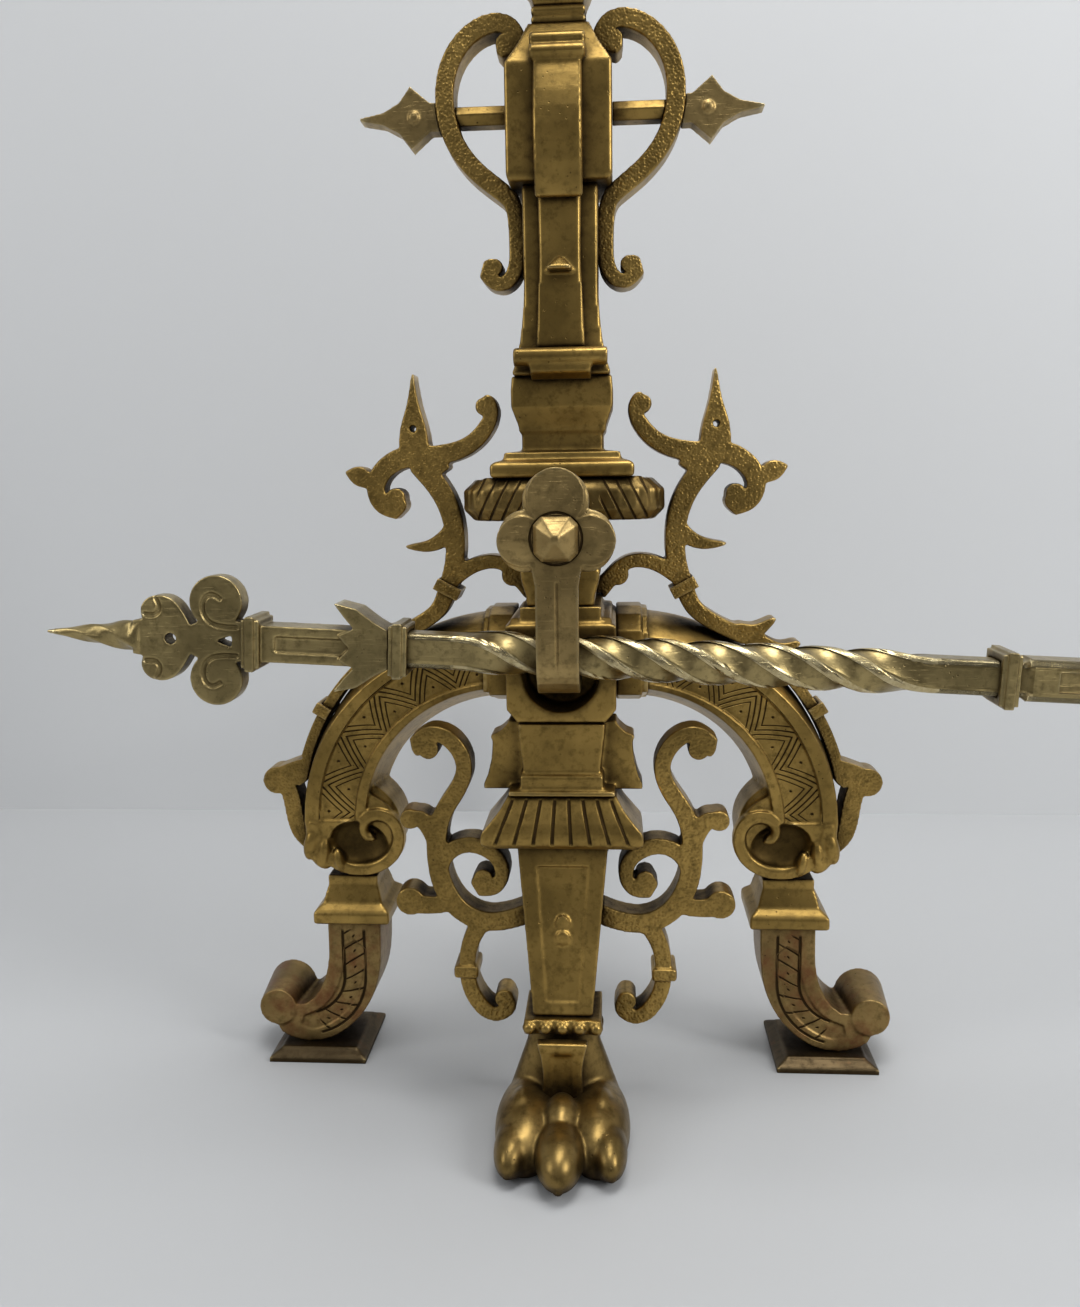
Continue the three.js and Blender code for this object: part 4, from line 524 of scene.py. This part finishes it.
def finish_with(piece, kind, **settings):
    """Adds a modifier and applies it."""
    only(piece)
    modifier = piece.modifiers.new(kind.lower(), kind)
    for name, value in settings.items():
        setattr(modifier, name, value)
    bpy.ops.object.modifier_apply(modifier=modifier.name)


def copy_of(node, name):
    """A merged copy of a node to work on."""
    piece = bpy.data.objects.new(name, nodes[node].data.copy())
    bpy.context.collection.objects.link(piece)
    edit(piece, lambda: bpy.ops.mesh.remove_doubles(threshold=MERGE))
    return piece


def flowing(piece):
    """Turns faceted outlines into smooth lines: sharp edges are creased, then it is subdivided."""
    edit(
        piece,
        lambda: bpy.ops.mesh.select_all(action="DESELECT"),
        lambda: bpy.ops.mesh.select_mode(type="EDGE"),
        lambda: bpy.ops.mesh.edges_select_sharp(sharpness=math.radians(CORNER)),
        lambda: bpy.ops.transform.edge_crease(value=1.0),
    )
    finish_with(piece, "SUBSURF", levels=2, render_levels=2)


def melted(piece, voxel, rounds):
    """An even skin with soft edges."""
    finish_with(piece, "REMESH", mode="VOXEL", voxel_size=voxel * MM, use_smooth_shade=True)
    finish_with(piece, "SMOOTH", factor=0.5, iterations=rounds)


def cut_level(piece, height, **cleared):
    """Cuts a piece at a height in millimetres: clear_inner drops what is below, clear_outer above."""
    edit(piece, lambda: bpy.ops.mesh.bisect(
        plane_co=(0, 0, height * MM), plane_no=(0, 0, 1), use_fill=True, threshold=FINE_MERGE, **cleared))


def settle(piece, node, finish):
    """Gives a piece its finish and lets it stand for its node."""
    body = next(b for b, names in frame["record"]["behaviour"]["bodies"].items() if node in names)
    piece.data.materials.clear()
    piece.data.materials.append(finish)
    only(piece)
    bpy.ops.object.shade_smooth()
    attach(piece, body)
    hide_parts(node)


def join_to(piece, others):
    """Makes one object of a piece and what is added to it. The remesh will fuse them."""
    bpy.ops.object.select_all(action="DESELECT")
    for other in others:
        other.select_set(True)
    piece.select_set(True)
    bpy.context.view_layer.objects.active = piece
    bpy.ops.object.join()


def carve(piece, cutters, crossing=True):
    """Takes the cutters' shapes out of a piece. Crossing is for shapes that cut themselves."""
    cutter = cutters[0]
    join_to(cutter, cutters[1:])
    finish_with(
        piece, "BOOLEAN", operation="DIFFERENCE", object=cutter, solver="EXACT", use_self=crossing,
    )
    bpy.data.objects.remove(cutter)


def basic(add, scale, **settings):
    """Adds one of Blender's basic meshes and makes its place, turn and scale part of the mesh."""
    bpy.ops.object.select_all(action="DESELECT")
    add(**settings)
    piece = bpy.context.active_object
    piece.scale = scale
    bpy.ops.object.transform_apply(location=True, rotation=True, scale=True)
    return piece


def wire(points, radius):
    """A round bar through points in millimetres, with closed ends, to add or to carve with."""
    line = bpy.data.curves.new("wire", "CURVE")
    line.dimensions = "3D"
    line.bevel_depth = radius * MM
    line.bevel_resolution = 2
    line.use_fill_caps = True
    spline = line.splines.new("NURBS")
    spline.points.add(len(points) - 1)
    for knot, point in zip(spline.points, points):
        knot.co = (*(v * MM for v in point), 1)
    spline.order_u = min(3, len(points))
    spline.use_endpoint_u = True
    spline.resolution_u = 8
    rod = bpy.data.objects.new("wire", line)
    bpy.context.collection.objects.link(rod)
    only(rod)
    bpy.ops.object.convert(target="MESH")
    rod = bpy.context.active_object
    edit(rod, lambda: bpy.ops.mesh.remove_doubles(threshold=FINE_MERGE))
    return rod


def blob(place, radii, turn=(0, 0, 0)):
    """An egg of metal, in millimetres and degrees, to be fused with others."""
    return basic(
        bpy.ops.mesh.primitive_uv_sphere_add, [v * MM for v in radii], segments=32, ring_count=20,
        radius=1, location=[v * MM for v in place], rotation=[math.radians(v) for v in turn],
    )


def cast(node, finish, voxel=0.8, rounds=3, flow=True, less=(), more=(), swell=0.0,
         crossing=True):
    """The whole recipe for one node, less what is carved out and with more metal added.

    voxel and swell are in millimetres, rounds is how often the skin is smoothed.
    """
    piece = copy_of(node, "cast_" + node)
    if flow:
        flowing(piece)
    if less:
        carve(piece, list(less), crossing)
    if more:
        join_to(piece, list(more))
    melted(piece, voxel, rounds)
    if swell:
        finish_with(piece, "DISPLACE", strength=swell * MM, mid_level=0.0)
    on_the_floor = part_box(node)[0][2] < 0.1 * MM
    if on_the_floor:
        cut_level(piece, SOLE, clear_inner=True)
    settle(piece, node, finish)
    print(node, len(piece.data.polygons), "faces")


SIDES = {"right": 1, "left": -1}            # the sign of X
print("casting helpers ready")

# %% [markdown]
# ## Scroll ornament
# The rings, wings and leg scrolls are flat castings. Their faces are punched all over, their
# side walls are smooth, and their outlines are long spirals.

# %% Scrolls
for side in SIDES:
    for node, voxel in (("ring_scroll_", 0.75), ("wing_scroll_", 0.8), ("leg_scroll_", 0.8)):
        cast(node + side, punched_brass, voxel, swell=0.35)
    for node in ("arch_leaf_", "wing_clip_", "arch_clip_"):
        cast(node + side, punched_brass, 0.6)
    cast("arrowhead_" + side, hook_brass, 0.5, flow=False)
    cast("cross_rod_" + side, plain_brass, 0.5, flow=False)

# %% [markdown]
# ## Legs
# The arched legs, knees and feet are heavier castings. The rolled end of an arch is a dark bowl
# with a bright spiral rim, and the rim ends in a leaf with three curled tips. The node has the
# spiral only in outline. Here the bowl is an egg carved out of the front, the rim is a round
# wire laid over it, and the leaf is made of small eggs.

# %% Legs and feet
LEG_FACE = 79                               # the front of the arches, as Y in millimetres
RIM_RADIUS, RIM_SUNK, LEAF_SUNK = 2.7, 2.3, 1.8
RIM = (                                     # X and Z of the rim's line
    (130, 118), (126.5, 111.5), (118.5, 103.5), (107.4, 99.9), (95.4, 101.6), (86.6, 109),
    (84.4, 120), (90, 127.6), (98.6, 128), (103.2, 121.6), (99.8, 115.4), (97, 117.4),
)
LEAF = (                                    # X and Z, radii, and how far each egg leans
    ((129, 112.8), (4.0, 3.6, 8.4), -12), ((122.4, 108.6), (3.3, 3.8, 8.0), -4),
    ((114.8, 104.4), (3.0, 3.8, 6.6), 16), ((124.6, 105), (3.8, 3, 6.2), 44),
)


def bowl(sign):
    """The hollow inside the rolled end of an arch."""
    return blob((sign * BOWL_X, LEG_FACE - 0.6, BOWL_Z), (15.6, 8.6, 11.6), (0, sign * -12, 0))


def rim_and_leaf(sign):
    """The spiral rim of a rolled end and the leaf at its lower outer corner."""
    metal = [wire([(sign * x, LEG_FACE + RIM_SUNK, z) for x, z in RIM], RIM_RADIUS)]
    for (x, z), radii, lean in LEAF:
        metal.append(blob((sign * x, LEG_FACE + LEAF_SUNK, z), radii, (0, sign * lean, 0)))
    return metal


for side, sign in SIDES.items():
    cast(
        "arch_leg_" + side, arch_brass, 0.8, rounds=2, less=[bowl(sign)], more=rim_and_leaf(sign),
        crossing=False,
    )
    cast("arch_collar_" + side, plain_brass, 0.6, flow=False, swell=0.3)
    cast("knee_cap_" + side, plain_brass, 0.7, flow=False, swell=0.2)
    cast("side_foot_" + side, foot_brass, 0.8)
    cast("foot_pad_" + side, pad_brass, 0.7, flow=False)
for node in ("front_block", "leg_console", "leg_pilaster", "paw_bracket", "bead_strip"):
    cast(node, plain_brass, 0.9, rounds=2, flow=False)

# %% [markdown]
# ## Fluted skirt
# The skirt flares from the console to the pilaster like a small bell, with dark flutes down its
# front. It is pulled out of one plate, ring by ring, and the flutes are wires carved out of it.

# %% Skirt
SKIRT_RINGS = (                             # Z, half the width, and Y of the front
    (152.2, 24.4, 34.0), (150.5, 25.4, 32.8), (146, 28.2, 30.2), (141, 32.4, 27.8),
    (137, 35.8, 26.7), (134, 36.6, 26.4), (131.6, 36.2, 26.8), (129.2, 33.6, 28.6),
)
SKIRT_BACK = 62.2
FLUTES, FLUTE_RADIUS = 8, 0.95
FLUTE_LINE = (                              # X for one step from the middle, Y and Z
    (6.3, 32.6, 151), (6.9, 29.6, 145.4), (7.8, 27, 140), (8.5, 25.9, 134.6), (8.6, 26.6, 131),
)


def pull_rings():
    """Extrudes the plate downwards from ring to ring, with its back staying in one plane."""
    for (z, half, front), (next_z, next_half, next_front) in zip(SKIRT_RINGS, SKIRT_RINGS[1:]):
        bpy.ops.mesh.extrude_region_move(TRANSFORM_OT_translate={"value": (0, 0, (next_z - z) * MM)})
        deeper = (SKIRT_BACK - next_front) / (SKIRT_BACK - front)
        bpy.ops.transform.resize(
            value=(next_half / half, deeper, 1), center_override=(0, SKIRT_BACK * MM, next_z * MM),
        )


top_z, top_half, top_front = SKIRT_RINGS[0]
skirt = basic(
    bpy.ops.mesh.primitive_plane_add, (2 * top_half * MM, (SKIRT_BACK - top_front) * MM, 1),
    size=1, location=(0, (SKIRT_BACK + top_front) / 2 * MM, top_z * MM),
)
edit(
    skirt,
    pull_rings,
    lambda: bpy.ops.mesh.select_all(action="SELECT"),
    lambda: bpy.ops.mesh.normals_make_consistent(inside=False),
)
flutes = []
for i in range(FLUTES):
    step = i - (FLUTES - 1) / 2
    flutes.append(wire([(x * step, y, z) for x, y, z in FLUTE_LINE], FLUTE_RADIUS))
carve(skirt, flutes)
melted(skirt, 0.6, 2)
skirt.name = "cast_fluted_skirt"
settle(skirt, "fluted_skirt", skirt_brass)
print("skirt", [round(v / MM, 1) for v in skirt.dimensions], "mm")

# %% [markdown]
# ## The lion's paw
# The paw could be cut from its node, but a paw has no edges at all: it is a few fat masses that
# run into each other. So it is made from a cone for the ankle and eggs of metal for the rest:
# two flanks, and a toe with its knuckle three times over. The remesh fuses them and smoothing
# melts the seams. The claws are added after that, so that they stay crisp, and two level cuts
# make the sole and the top of the ankle flat.

# %% Paw
ANKLE_TOP = 46
CLAWS = ((0, -35.5), (-21.8, -26), (21.8, -26))     # X and Y
paw = basic(
    bpy.ops.mesh.primitive_cone_add, (1, 0.66, 1), vertices=48, radius1=29.6 * MM,
    radius2=15 * MM, depth=42 * MM, location=(0, 29 * MM, 23 * MM),
)
masses = [
    blob((0, 12, 6), (22, 26, 13)),
    blob((0, 33, 45), (18.4, 14.4, 12)),
    blob((0, -18.6, 10.8), (10.6, 19.6, 11.6)),
    blob((0, -1, 16.4), (8, 13, 9.4), (16, 0, 0)),
]
for sign in (-1, 1):
    masses += [
        blob((sign * 15.4, 9, 8), (14.8, 32, 16.4)),
        blob((sign * 20, -9, 9), (8.6, 19.4, 10.4), (0, 0, sign * 5)),
        blob((sign * 17.6, 4, 15.6), (6.4, 13, 9.4), (24, 0, 0)),
    ]
join_to(paw, masses)
melted(paw, 0.7, 22)
paw.name = "cast_lion_paw"
join_to(paw, [blob((x, y, 5.6), (2.0, 1.0, 2.5), (28, 0, 0)) for x, y in CLAWS])
melted(paw, 0.65, 1)
cut_level(paw, SOLE, clear_inner=True)
cut_level(paw, ANKLE_TOP, clear_outer=True)
settle(paw, "lion_paw", dull_brass)
print("paw", [round(v / MM, 1) for v in paw.dimensions], "mm")

# %% [markdown]
# ## Column
# The column is a stack of square mouldings. Their edges are straight, so they aren't subdivided,
# only melted.

# %% Column pieces
for node in (
    "column_neck", "column_base", "column_shaft", "shaft_strap", "roll_bracket", "head_block",
    "head_band", "head_collar", "capital",
):
    cast(node, plain_brass, 0.95, rounds=2, flow=False, swell=0.25)
cast("gadrooned_cushion", cushion_brass, 0.85, rounds=3, flow=False, swell=0.3)
cast("finial", plain_brass, 0.75, rounds=8, flow=False)

# %% [markdown]
# ## Hook
# The hook is a forged and filed plate with a trefoil head. Its lobes are slightly puffy, and a
# worn ring runs round the bolt. Three flat eggs add the puffs to the node, and the ring is in
# its finish.

# %% Hook and bolt
PUFF_SUNK, PUFF_DEPTH = 2.4, 3.1
LOBES = ((-13, -1, 11.6, 13), (13, -1, 11.6, 13), (0, 15.4, 14, 13.4))     # X, Z from the bolt, radii
puff_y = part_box("hook")[0][1] / MM + PUFF_SUNK
puffs = [
    blob((x, puff_y, BOLT_Z + up), (wide, PUFF_DEPTH, high)) for x, up, wide, high in LOBES
]
hook_piece = copy_of("hook", "cast_hook")
join_to(hook_piece, puffs)
melted(hook_piece, 0.5, 3)
settle(hook_piece, "hook", hook_brass)
cast("hook_spacer", hook_brass, 0.6, flow=False)
cast("hook_bolt", hook_brass, 0.5, rounds=2, flow=False)

# %% [markdown]
# ## Crossbar
# The bar is square stock, twisted hot and polished, with a square panel left in its middle. A
# twist modifier would turn it at one steady rate, but the real one starts and ends softly. So
# the bar is grown from one end: each short step extrudes the end face and turns it by its share.
# The second half turns back the other way, which mirrors the first. The bar is made level along X
# and is laid into its slope and place at the end.

# %% Bar
BAR_HALF, PANEL_HALF = 7.5, 8.9                     # half the thickness
BAR_START, TWIST_START, TWIST_END = -71.0, -44.5, 160
TWIST_EASE, TWIST_TURN = 24, math.tau * 2           # the length of a soft start, and the whole turn
PANEL_START, BAR_CENTRE = 198, 272
FAR = 2 * BAR_CENTRE                                # FAR - x is the mirror image of x
BAR_STEP, BAR_STUB, BAR_ROUNDING = 2.4, 2, 2.3
BAR_DROOP = math.radians(3)
BAR_Y, BAR_Z = 26.73, 217.4
SLOT_MARGIN, SLOT_DEPTH, SLOT_HEIGHT, SLOT_ROUNDING = 10, 5.2, 8.8, 0.7


def twist_at(x):
    """The bar's turn at a place, in radians."""
    length = TWIST_END - TWIST_START
    along = min(max(BAR_CENTRE - abs(x - BAR_CENTRE) - TWIST_START, 0), length)
    rate = TWIST_TURN / (length - TWIST_EASE)
    if along < TWIST_EASE:
        return rate * along ** 2 / (2 * TWIST_EASE)
    if along > length - TWIST_EASE:
        return TWIST_TURN - rate * (length - along) ** 2 / (2 * TWIST_EASE)
    return rate * (along - TWIST_EASE / 2)


def twist_stations(start, end):
    """Places along a twist, a short step apart, with half the bar's thickness there."""
    steps = round((end - start) / BAR_STEP)
    return [(start + (end - start) * i / steps, BAR_HALF) for i in range(steps + 1)]


def grow():
    """Extrudes the bar's end face from station to station, turning and resizing it on the way."""
    for (x, half), (next_x, next_half) in zip(stations, stations[1:]):
        bpy.ops.mesh.extrude_region_move(TRANSFORM_OT_translate={"value": ((next_x - x) * MM, 0, 0)})
        turned = twist_at(next_x) - twist_at(x)
        if turned:
            bpy.ops.transform.rotate(
                value=-turned, orient_axis="X", center_override=(next_x * MM, 0, 0),
            )
        if next_half != half:
            share = next_half / half
            bpy.ops.transform.resize(
                value=(1, share, share), center_override=(next_x * MM, 0, 0),
            )


stations = [
    (BAR_START + BAR_STUB, BAR_HALF),
    *twist_stations(TWIST_START, TWIST_END),
    (PANEL_START - 2.4, BAR_HALF), (PANEL_START - 1, PANEL_HALF - 0.5),
    (PANEL_START - 0.4, PANEL_HALF),
    (FAR - PANEL_START + 0.4, PANEL_HALF), (FAR - PANEL_START + 1, PANEL_HALF - 0.5),
    (FAR - PANEL_START + 2.4, BAR_HALF),
    *twist_stations(FAR - TWIST_END, FAR - TWIST_START),
    (FAR - BAR_START, BAR_HALF),
]

# A stub of the bar, with its four long edges rounded, and its end face selected to grow from.
bar = basic(
    bpy.ops.mesh.primitive_cube_add, (BAR_STUB * MM, 2 * BAR_HALF * MM, 2 * BAR_HALF * MM), size=1,
    location=((BAR_START + BAR_STUB / 2) * MM, 0, 0),
)
bar.name = "bar"
only(bar)
bpy.ops.object.mode_set(mode="EDIT")
bpy.ops.mesh.select_mode(type="EDGE")
bpy.ops.mesh.select_all(action="SELECT")
bpy.ops.mesh.subdivide(number_cuts=3)
bpy.ops.mesh.select_all(action="DESELECT")
bpy.ops.object.mode_set(mode="OBJECT")
nearly = (BAR_HALF - 0.1) * MM
for edge in bar.data.edges:
    ends = [bar.data.vertices[v].co for v in edge.vertices]
    edge.select = all(abs(end.y) > nearly and abs(end.z) > nearly for end in ends)
bpy.ops.object.mode_set(mode="EDIT")
bpy.ops.mesh.bevel(offset=BAR_ROUNDING * MM, segments=3, affect="EDGES")
bpy.ops.mesh.select_mode(type="FACE")
bpy.ops.object.mode_set(mode="OBJECT")
for face in bar.data.polygons:
    face.select = face.normal.x > 0.9
bpy.ops.object.mode_set(mode="EDIT")
grow()
bpy.ops.object.mode_set(mode="OBJECT")

# The sunk fields on both faces of the panel.
slot_length = 2 * (BAR_CENTRE - PANEL_START - SLOT_MARGIN)
slots = []
for face in (-1, 1):
    slot = basic(
        bpy.ops.mesh.primitive_cube_add, (slot_length * MM, SLOT_DEPTH * MM, SLOT_HEIGHT * MM), size=1,
        location=(BAR_CENTRE * MM, face * (PANEL_HALF + 1) * MM, 0),
    )
    finish_with(slot, "BEVEL", width=SLOT_ROUNDING * MM, segments=2)
    slots.append(slot)
carve(bar, slots, crossing=False)
bar.rotation_euler = (0, BAR_DROOP, 0)
bar.location = (0, BAR_Y * MM, BAR_Z * MM)
only(bar)
bpy.ops.object.transform_apply(location=True, rotation=True, scale=True)
settle(bar, "crossbar", bar_brass)
only(bar)
bpy.ops.object.shade_smooth_by_angle(angle=math.radians(38))
corners = [
    tuple(round(pick(v.co[axis] for v in bar.data.vertices) / MM, 1) for axis in range(3))
    for pick in (min, max)
]
print("bar", len(bar.data.polygons), "faces,", [round(v / MM, 1) for v in bar.dimensions], "mm")
print("the bar ", corners)

# %% Sleeves
for number in "1234":
    cast("bar_collar_" + number, bar_brass, 0.45, rounds=3, flow=False)
for side in ("left", "right"):
    cast("ferrule_" + side, bar_brass, 0.55, rounds=2, flow=False)

# %% [markdown]
# ## Spearheads
# The spearheads at the bar's ends are flat castings with a spiral groove in each volute. A
# groove is a round wire, laid on the face and carved out.

# %% Spearheads
GROOVE_RADIUS, GROOVE_FACES = 1.25, (-5, 5)
BAR_BELOW_BOLT = 51.3
SPIRALS = (                                 # how far out from the sleeve, and off the bar's axis
    [(3.0, 6.4), (11.1, 6.0), (17.4, 8.6), (19.4, 14.4), (17.8, 19.4), (13.8, 20.8), (10.6, 18.0)],
    [(40.4, 18.4), (38.2, 15.4), (38.6, 11.2), (42.2, 9.6), (45.6, 10.6)],
)


def spearhead_grooves(side):
    """Wires along the volutes on both faces of a spearhead."""
    low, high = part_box("spearhead_" + side)
    sign = 1 if side == "left" else -1
    start = Vector((high.x if side == "left" else low.x, (low.y + high.y) / 2, 0)) / MM
    grooves = []
    for half in (-1, 1):
        for face in GROOVE_FACES:
            for points in SPIRALS:
                route = []
                for x, z in points:
                    along = start.x - sign * x
                    axis_z = BOLT_Z - BAR_BELOW_BOLT - along * math.tan(BAR_DROOP)
                    lean = half * z
                    route.append((
                        along + lean * math.sin(BAR_DROOP), start.y + face,
                        axis_z + lean * math.cos(BAR_DROOP),
                    ))
                grooves.append(wire(route, GROOVE_RADIUS))
    return grooves


for side in ("left", "right"):
    cast("spearhead_" + side, bar_brass, 0.5, rounds=3, less=spearhead_grooves(side))

# %% Iron
for node in ("billet_bar", "rear_foot", "billet_bolt"):
    cast(node, black_iron, 1.6, flow=False)

# %% [markdown]
# ## Floor, light and camera
# The photograph was taken indoors against a white wall, in soft light from several sides. A floor
# and a wall of pale grey and three large area lights do the same: one above, a weak one on the
# left and the strongest on the right. The world adds a dim light that grows towards the top. The
# camera itself sees a plain pale backdrop in its place.

# %% Floor and wall
floor = basic(bpy.ops.mesh.primitive_plane_add, (6, 6, 1), size=1, location=(0, 0, 0))
floor.name = "floor"
wall = basic(
    bpy.ops.mesh.primitive_plane_add, (6, 3, 1), size=1, location=(0, 0.50, 1.5),
    rotation=(math.pi / 2, 0, 0),
)
wall.name = "wall"
for piece, grey in ((floor, 0.46), (wall, 0.64)):
    paint = bpy.data.materials.new("pale_" + piece.name)
    paint.use_nodes = True
    shader = paint.node_tree.nodes["Principled BSDF"]
    shader.inputs["Base Color"].default_value = (grey * 0.985, grey, grey * 1.01, 1)
    shader.inputs["Roughness"].default_value = 0.55
    piece.data.materials.append(paint)

# The wall stands close behind the andiron, so it is clear when it is looked at from its back.
paint = wall.data.materials[0].node_tree
choice = paint.nodes.new("ShaderNodeMixShader")
paint.links.new(paint.nodes.new("ShaderNodeNewGeometry").outputs["Backfacing"], choice.inputs[0])
paint.links.new(paint.nodes["Principled BSDF"].outputs[0], choice.inputs[1])
paint.links.new(paint.nodes.new("ShaderNodeBsdfTransparent").outputs[0], choice.inputs[2])
paint.links.new(choice.outputs[0], paint.nodes["Material Output"].inputs["Surface"])

# %% Lights
def soft_light(name, place, towards, size, power):
    """A white area light at a place, facing a point."""
    bpy.ops.object.light_add(type="AREA", location=place)
    lamp = bpy.context.active_object
    lamp.name = name
    lamp.data.shape = "RECTANGLE"
    lamp.data.size, lamp.data.size_y = size
    lamp.data.energy = power
    lamp.rotation_euler = (Vector(towards) - Vector(place)).to_track_quat("-Z", "Y").to_euler()


COLUMN, FOOT = (0, 0.1, 0.3), (0, 0.1, 0.2)
soft_light("window_above", (0.15, 0.0, 1.8), FOOT, (1.0, 0.7), 17)
soft_light("window_left", (-1.5, -0.6, 1.0), COLUMN, (0.6, 1.0), 6)
soft_light("window_right", (1.5, -0.7, 1.1), COLUMN, (0.6, 1.0), 18)

# The world, as light and as what the camera sees.
world = bpy.data.worlds.new("room")
bpy.context.scene.world = world
world.use_nodes = True
sky = world.node_tree
heading = sky.nodes.new("ShaderNodeSeparateXYZ")
sky.links.new(sky.nodes.new("ShaderNodeTexCoord").outputs["Generated"], heading.inputs["Vector"])
lift = put(sky, "MapRange", {"Value": heading.outputs["Z"], "From Min": -0.1, "From Max": 0.9})
room = blend_colour(sky, lift, (0.075, 0.07, 0.065, 1), (0.62, 0.64, 0.67, 1))
seen = sky.nodes.new("ShaderNodeLightPath").outputs["Is Camera Ray"]
backdrop = blend_colour(sky, seen, room, (0.6, 0.61, 0.62, 1))
sky.links.new(backdrop, sky.nodes["Background"].inputs["Color"])
sky.nodes["Background"].inputs["Strength"].default_value = 0.9

# %% Camera
# Its place, angles and focal length come from a pinhole fit to points of the photograph.
SENSOR = 36
FOCAL_PIXELS, PHOTO_HEIGHT = 1100, 1307
YAW, PITCH, ROLL = 4.0, 9.06, -0.85
CAMERA_PLACE = (0.0245, -0.443, 0.29345)
bpy.ops.object.camera_add()
camera = bpy.context.active_object
camera.name = "photo_camera"
camera.data.sensor_fit = "VERTICAL"
camera.data.sensor_height = SENSOR
camera.data.lens = SENSOR * FOCAL_PIXELS / PHOTO_HEIGHT
yaw, pitch, roll = (math.radians(v) for v in (YAW, PITCH, ROLL))
ahead = Vector((-math.sin(yaw) * math.cos(pitch), math.cos(yaw) * math.cos(pitch), -math.sin(pitch)))
level = ahead.cross(Vector((0, 0, 1))).normalized()
upward = level.cross(ahead)
right = level * math.cos(roll) + upward * math.sin(roll)
top = upward * math.cos(roll) - level * math.sin(roll)
turn = Matrix((right, top, -ahead)).transposed().to_4x4()
camera.matrix_world = Matrix.Translation(CAMERA_PLACE) @ turn
bpy.context.scene.camera = camera
bpy.context.scene.view_settings.view_transform = "Standard"
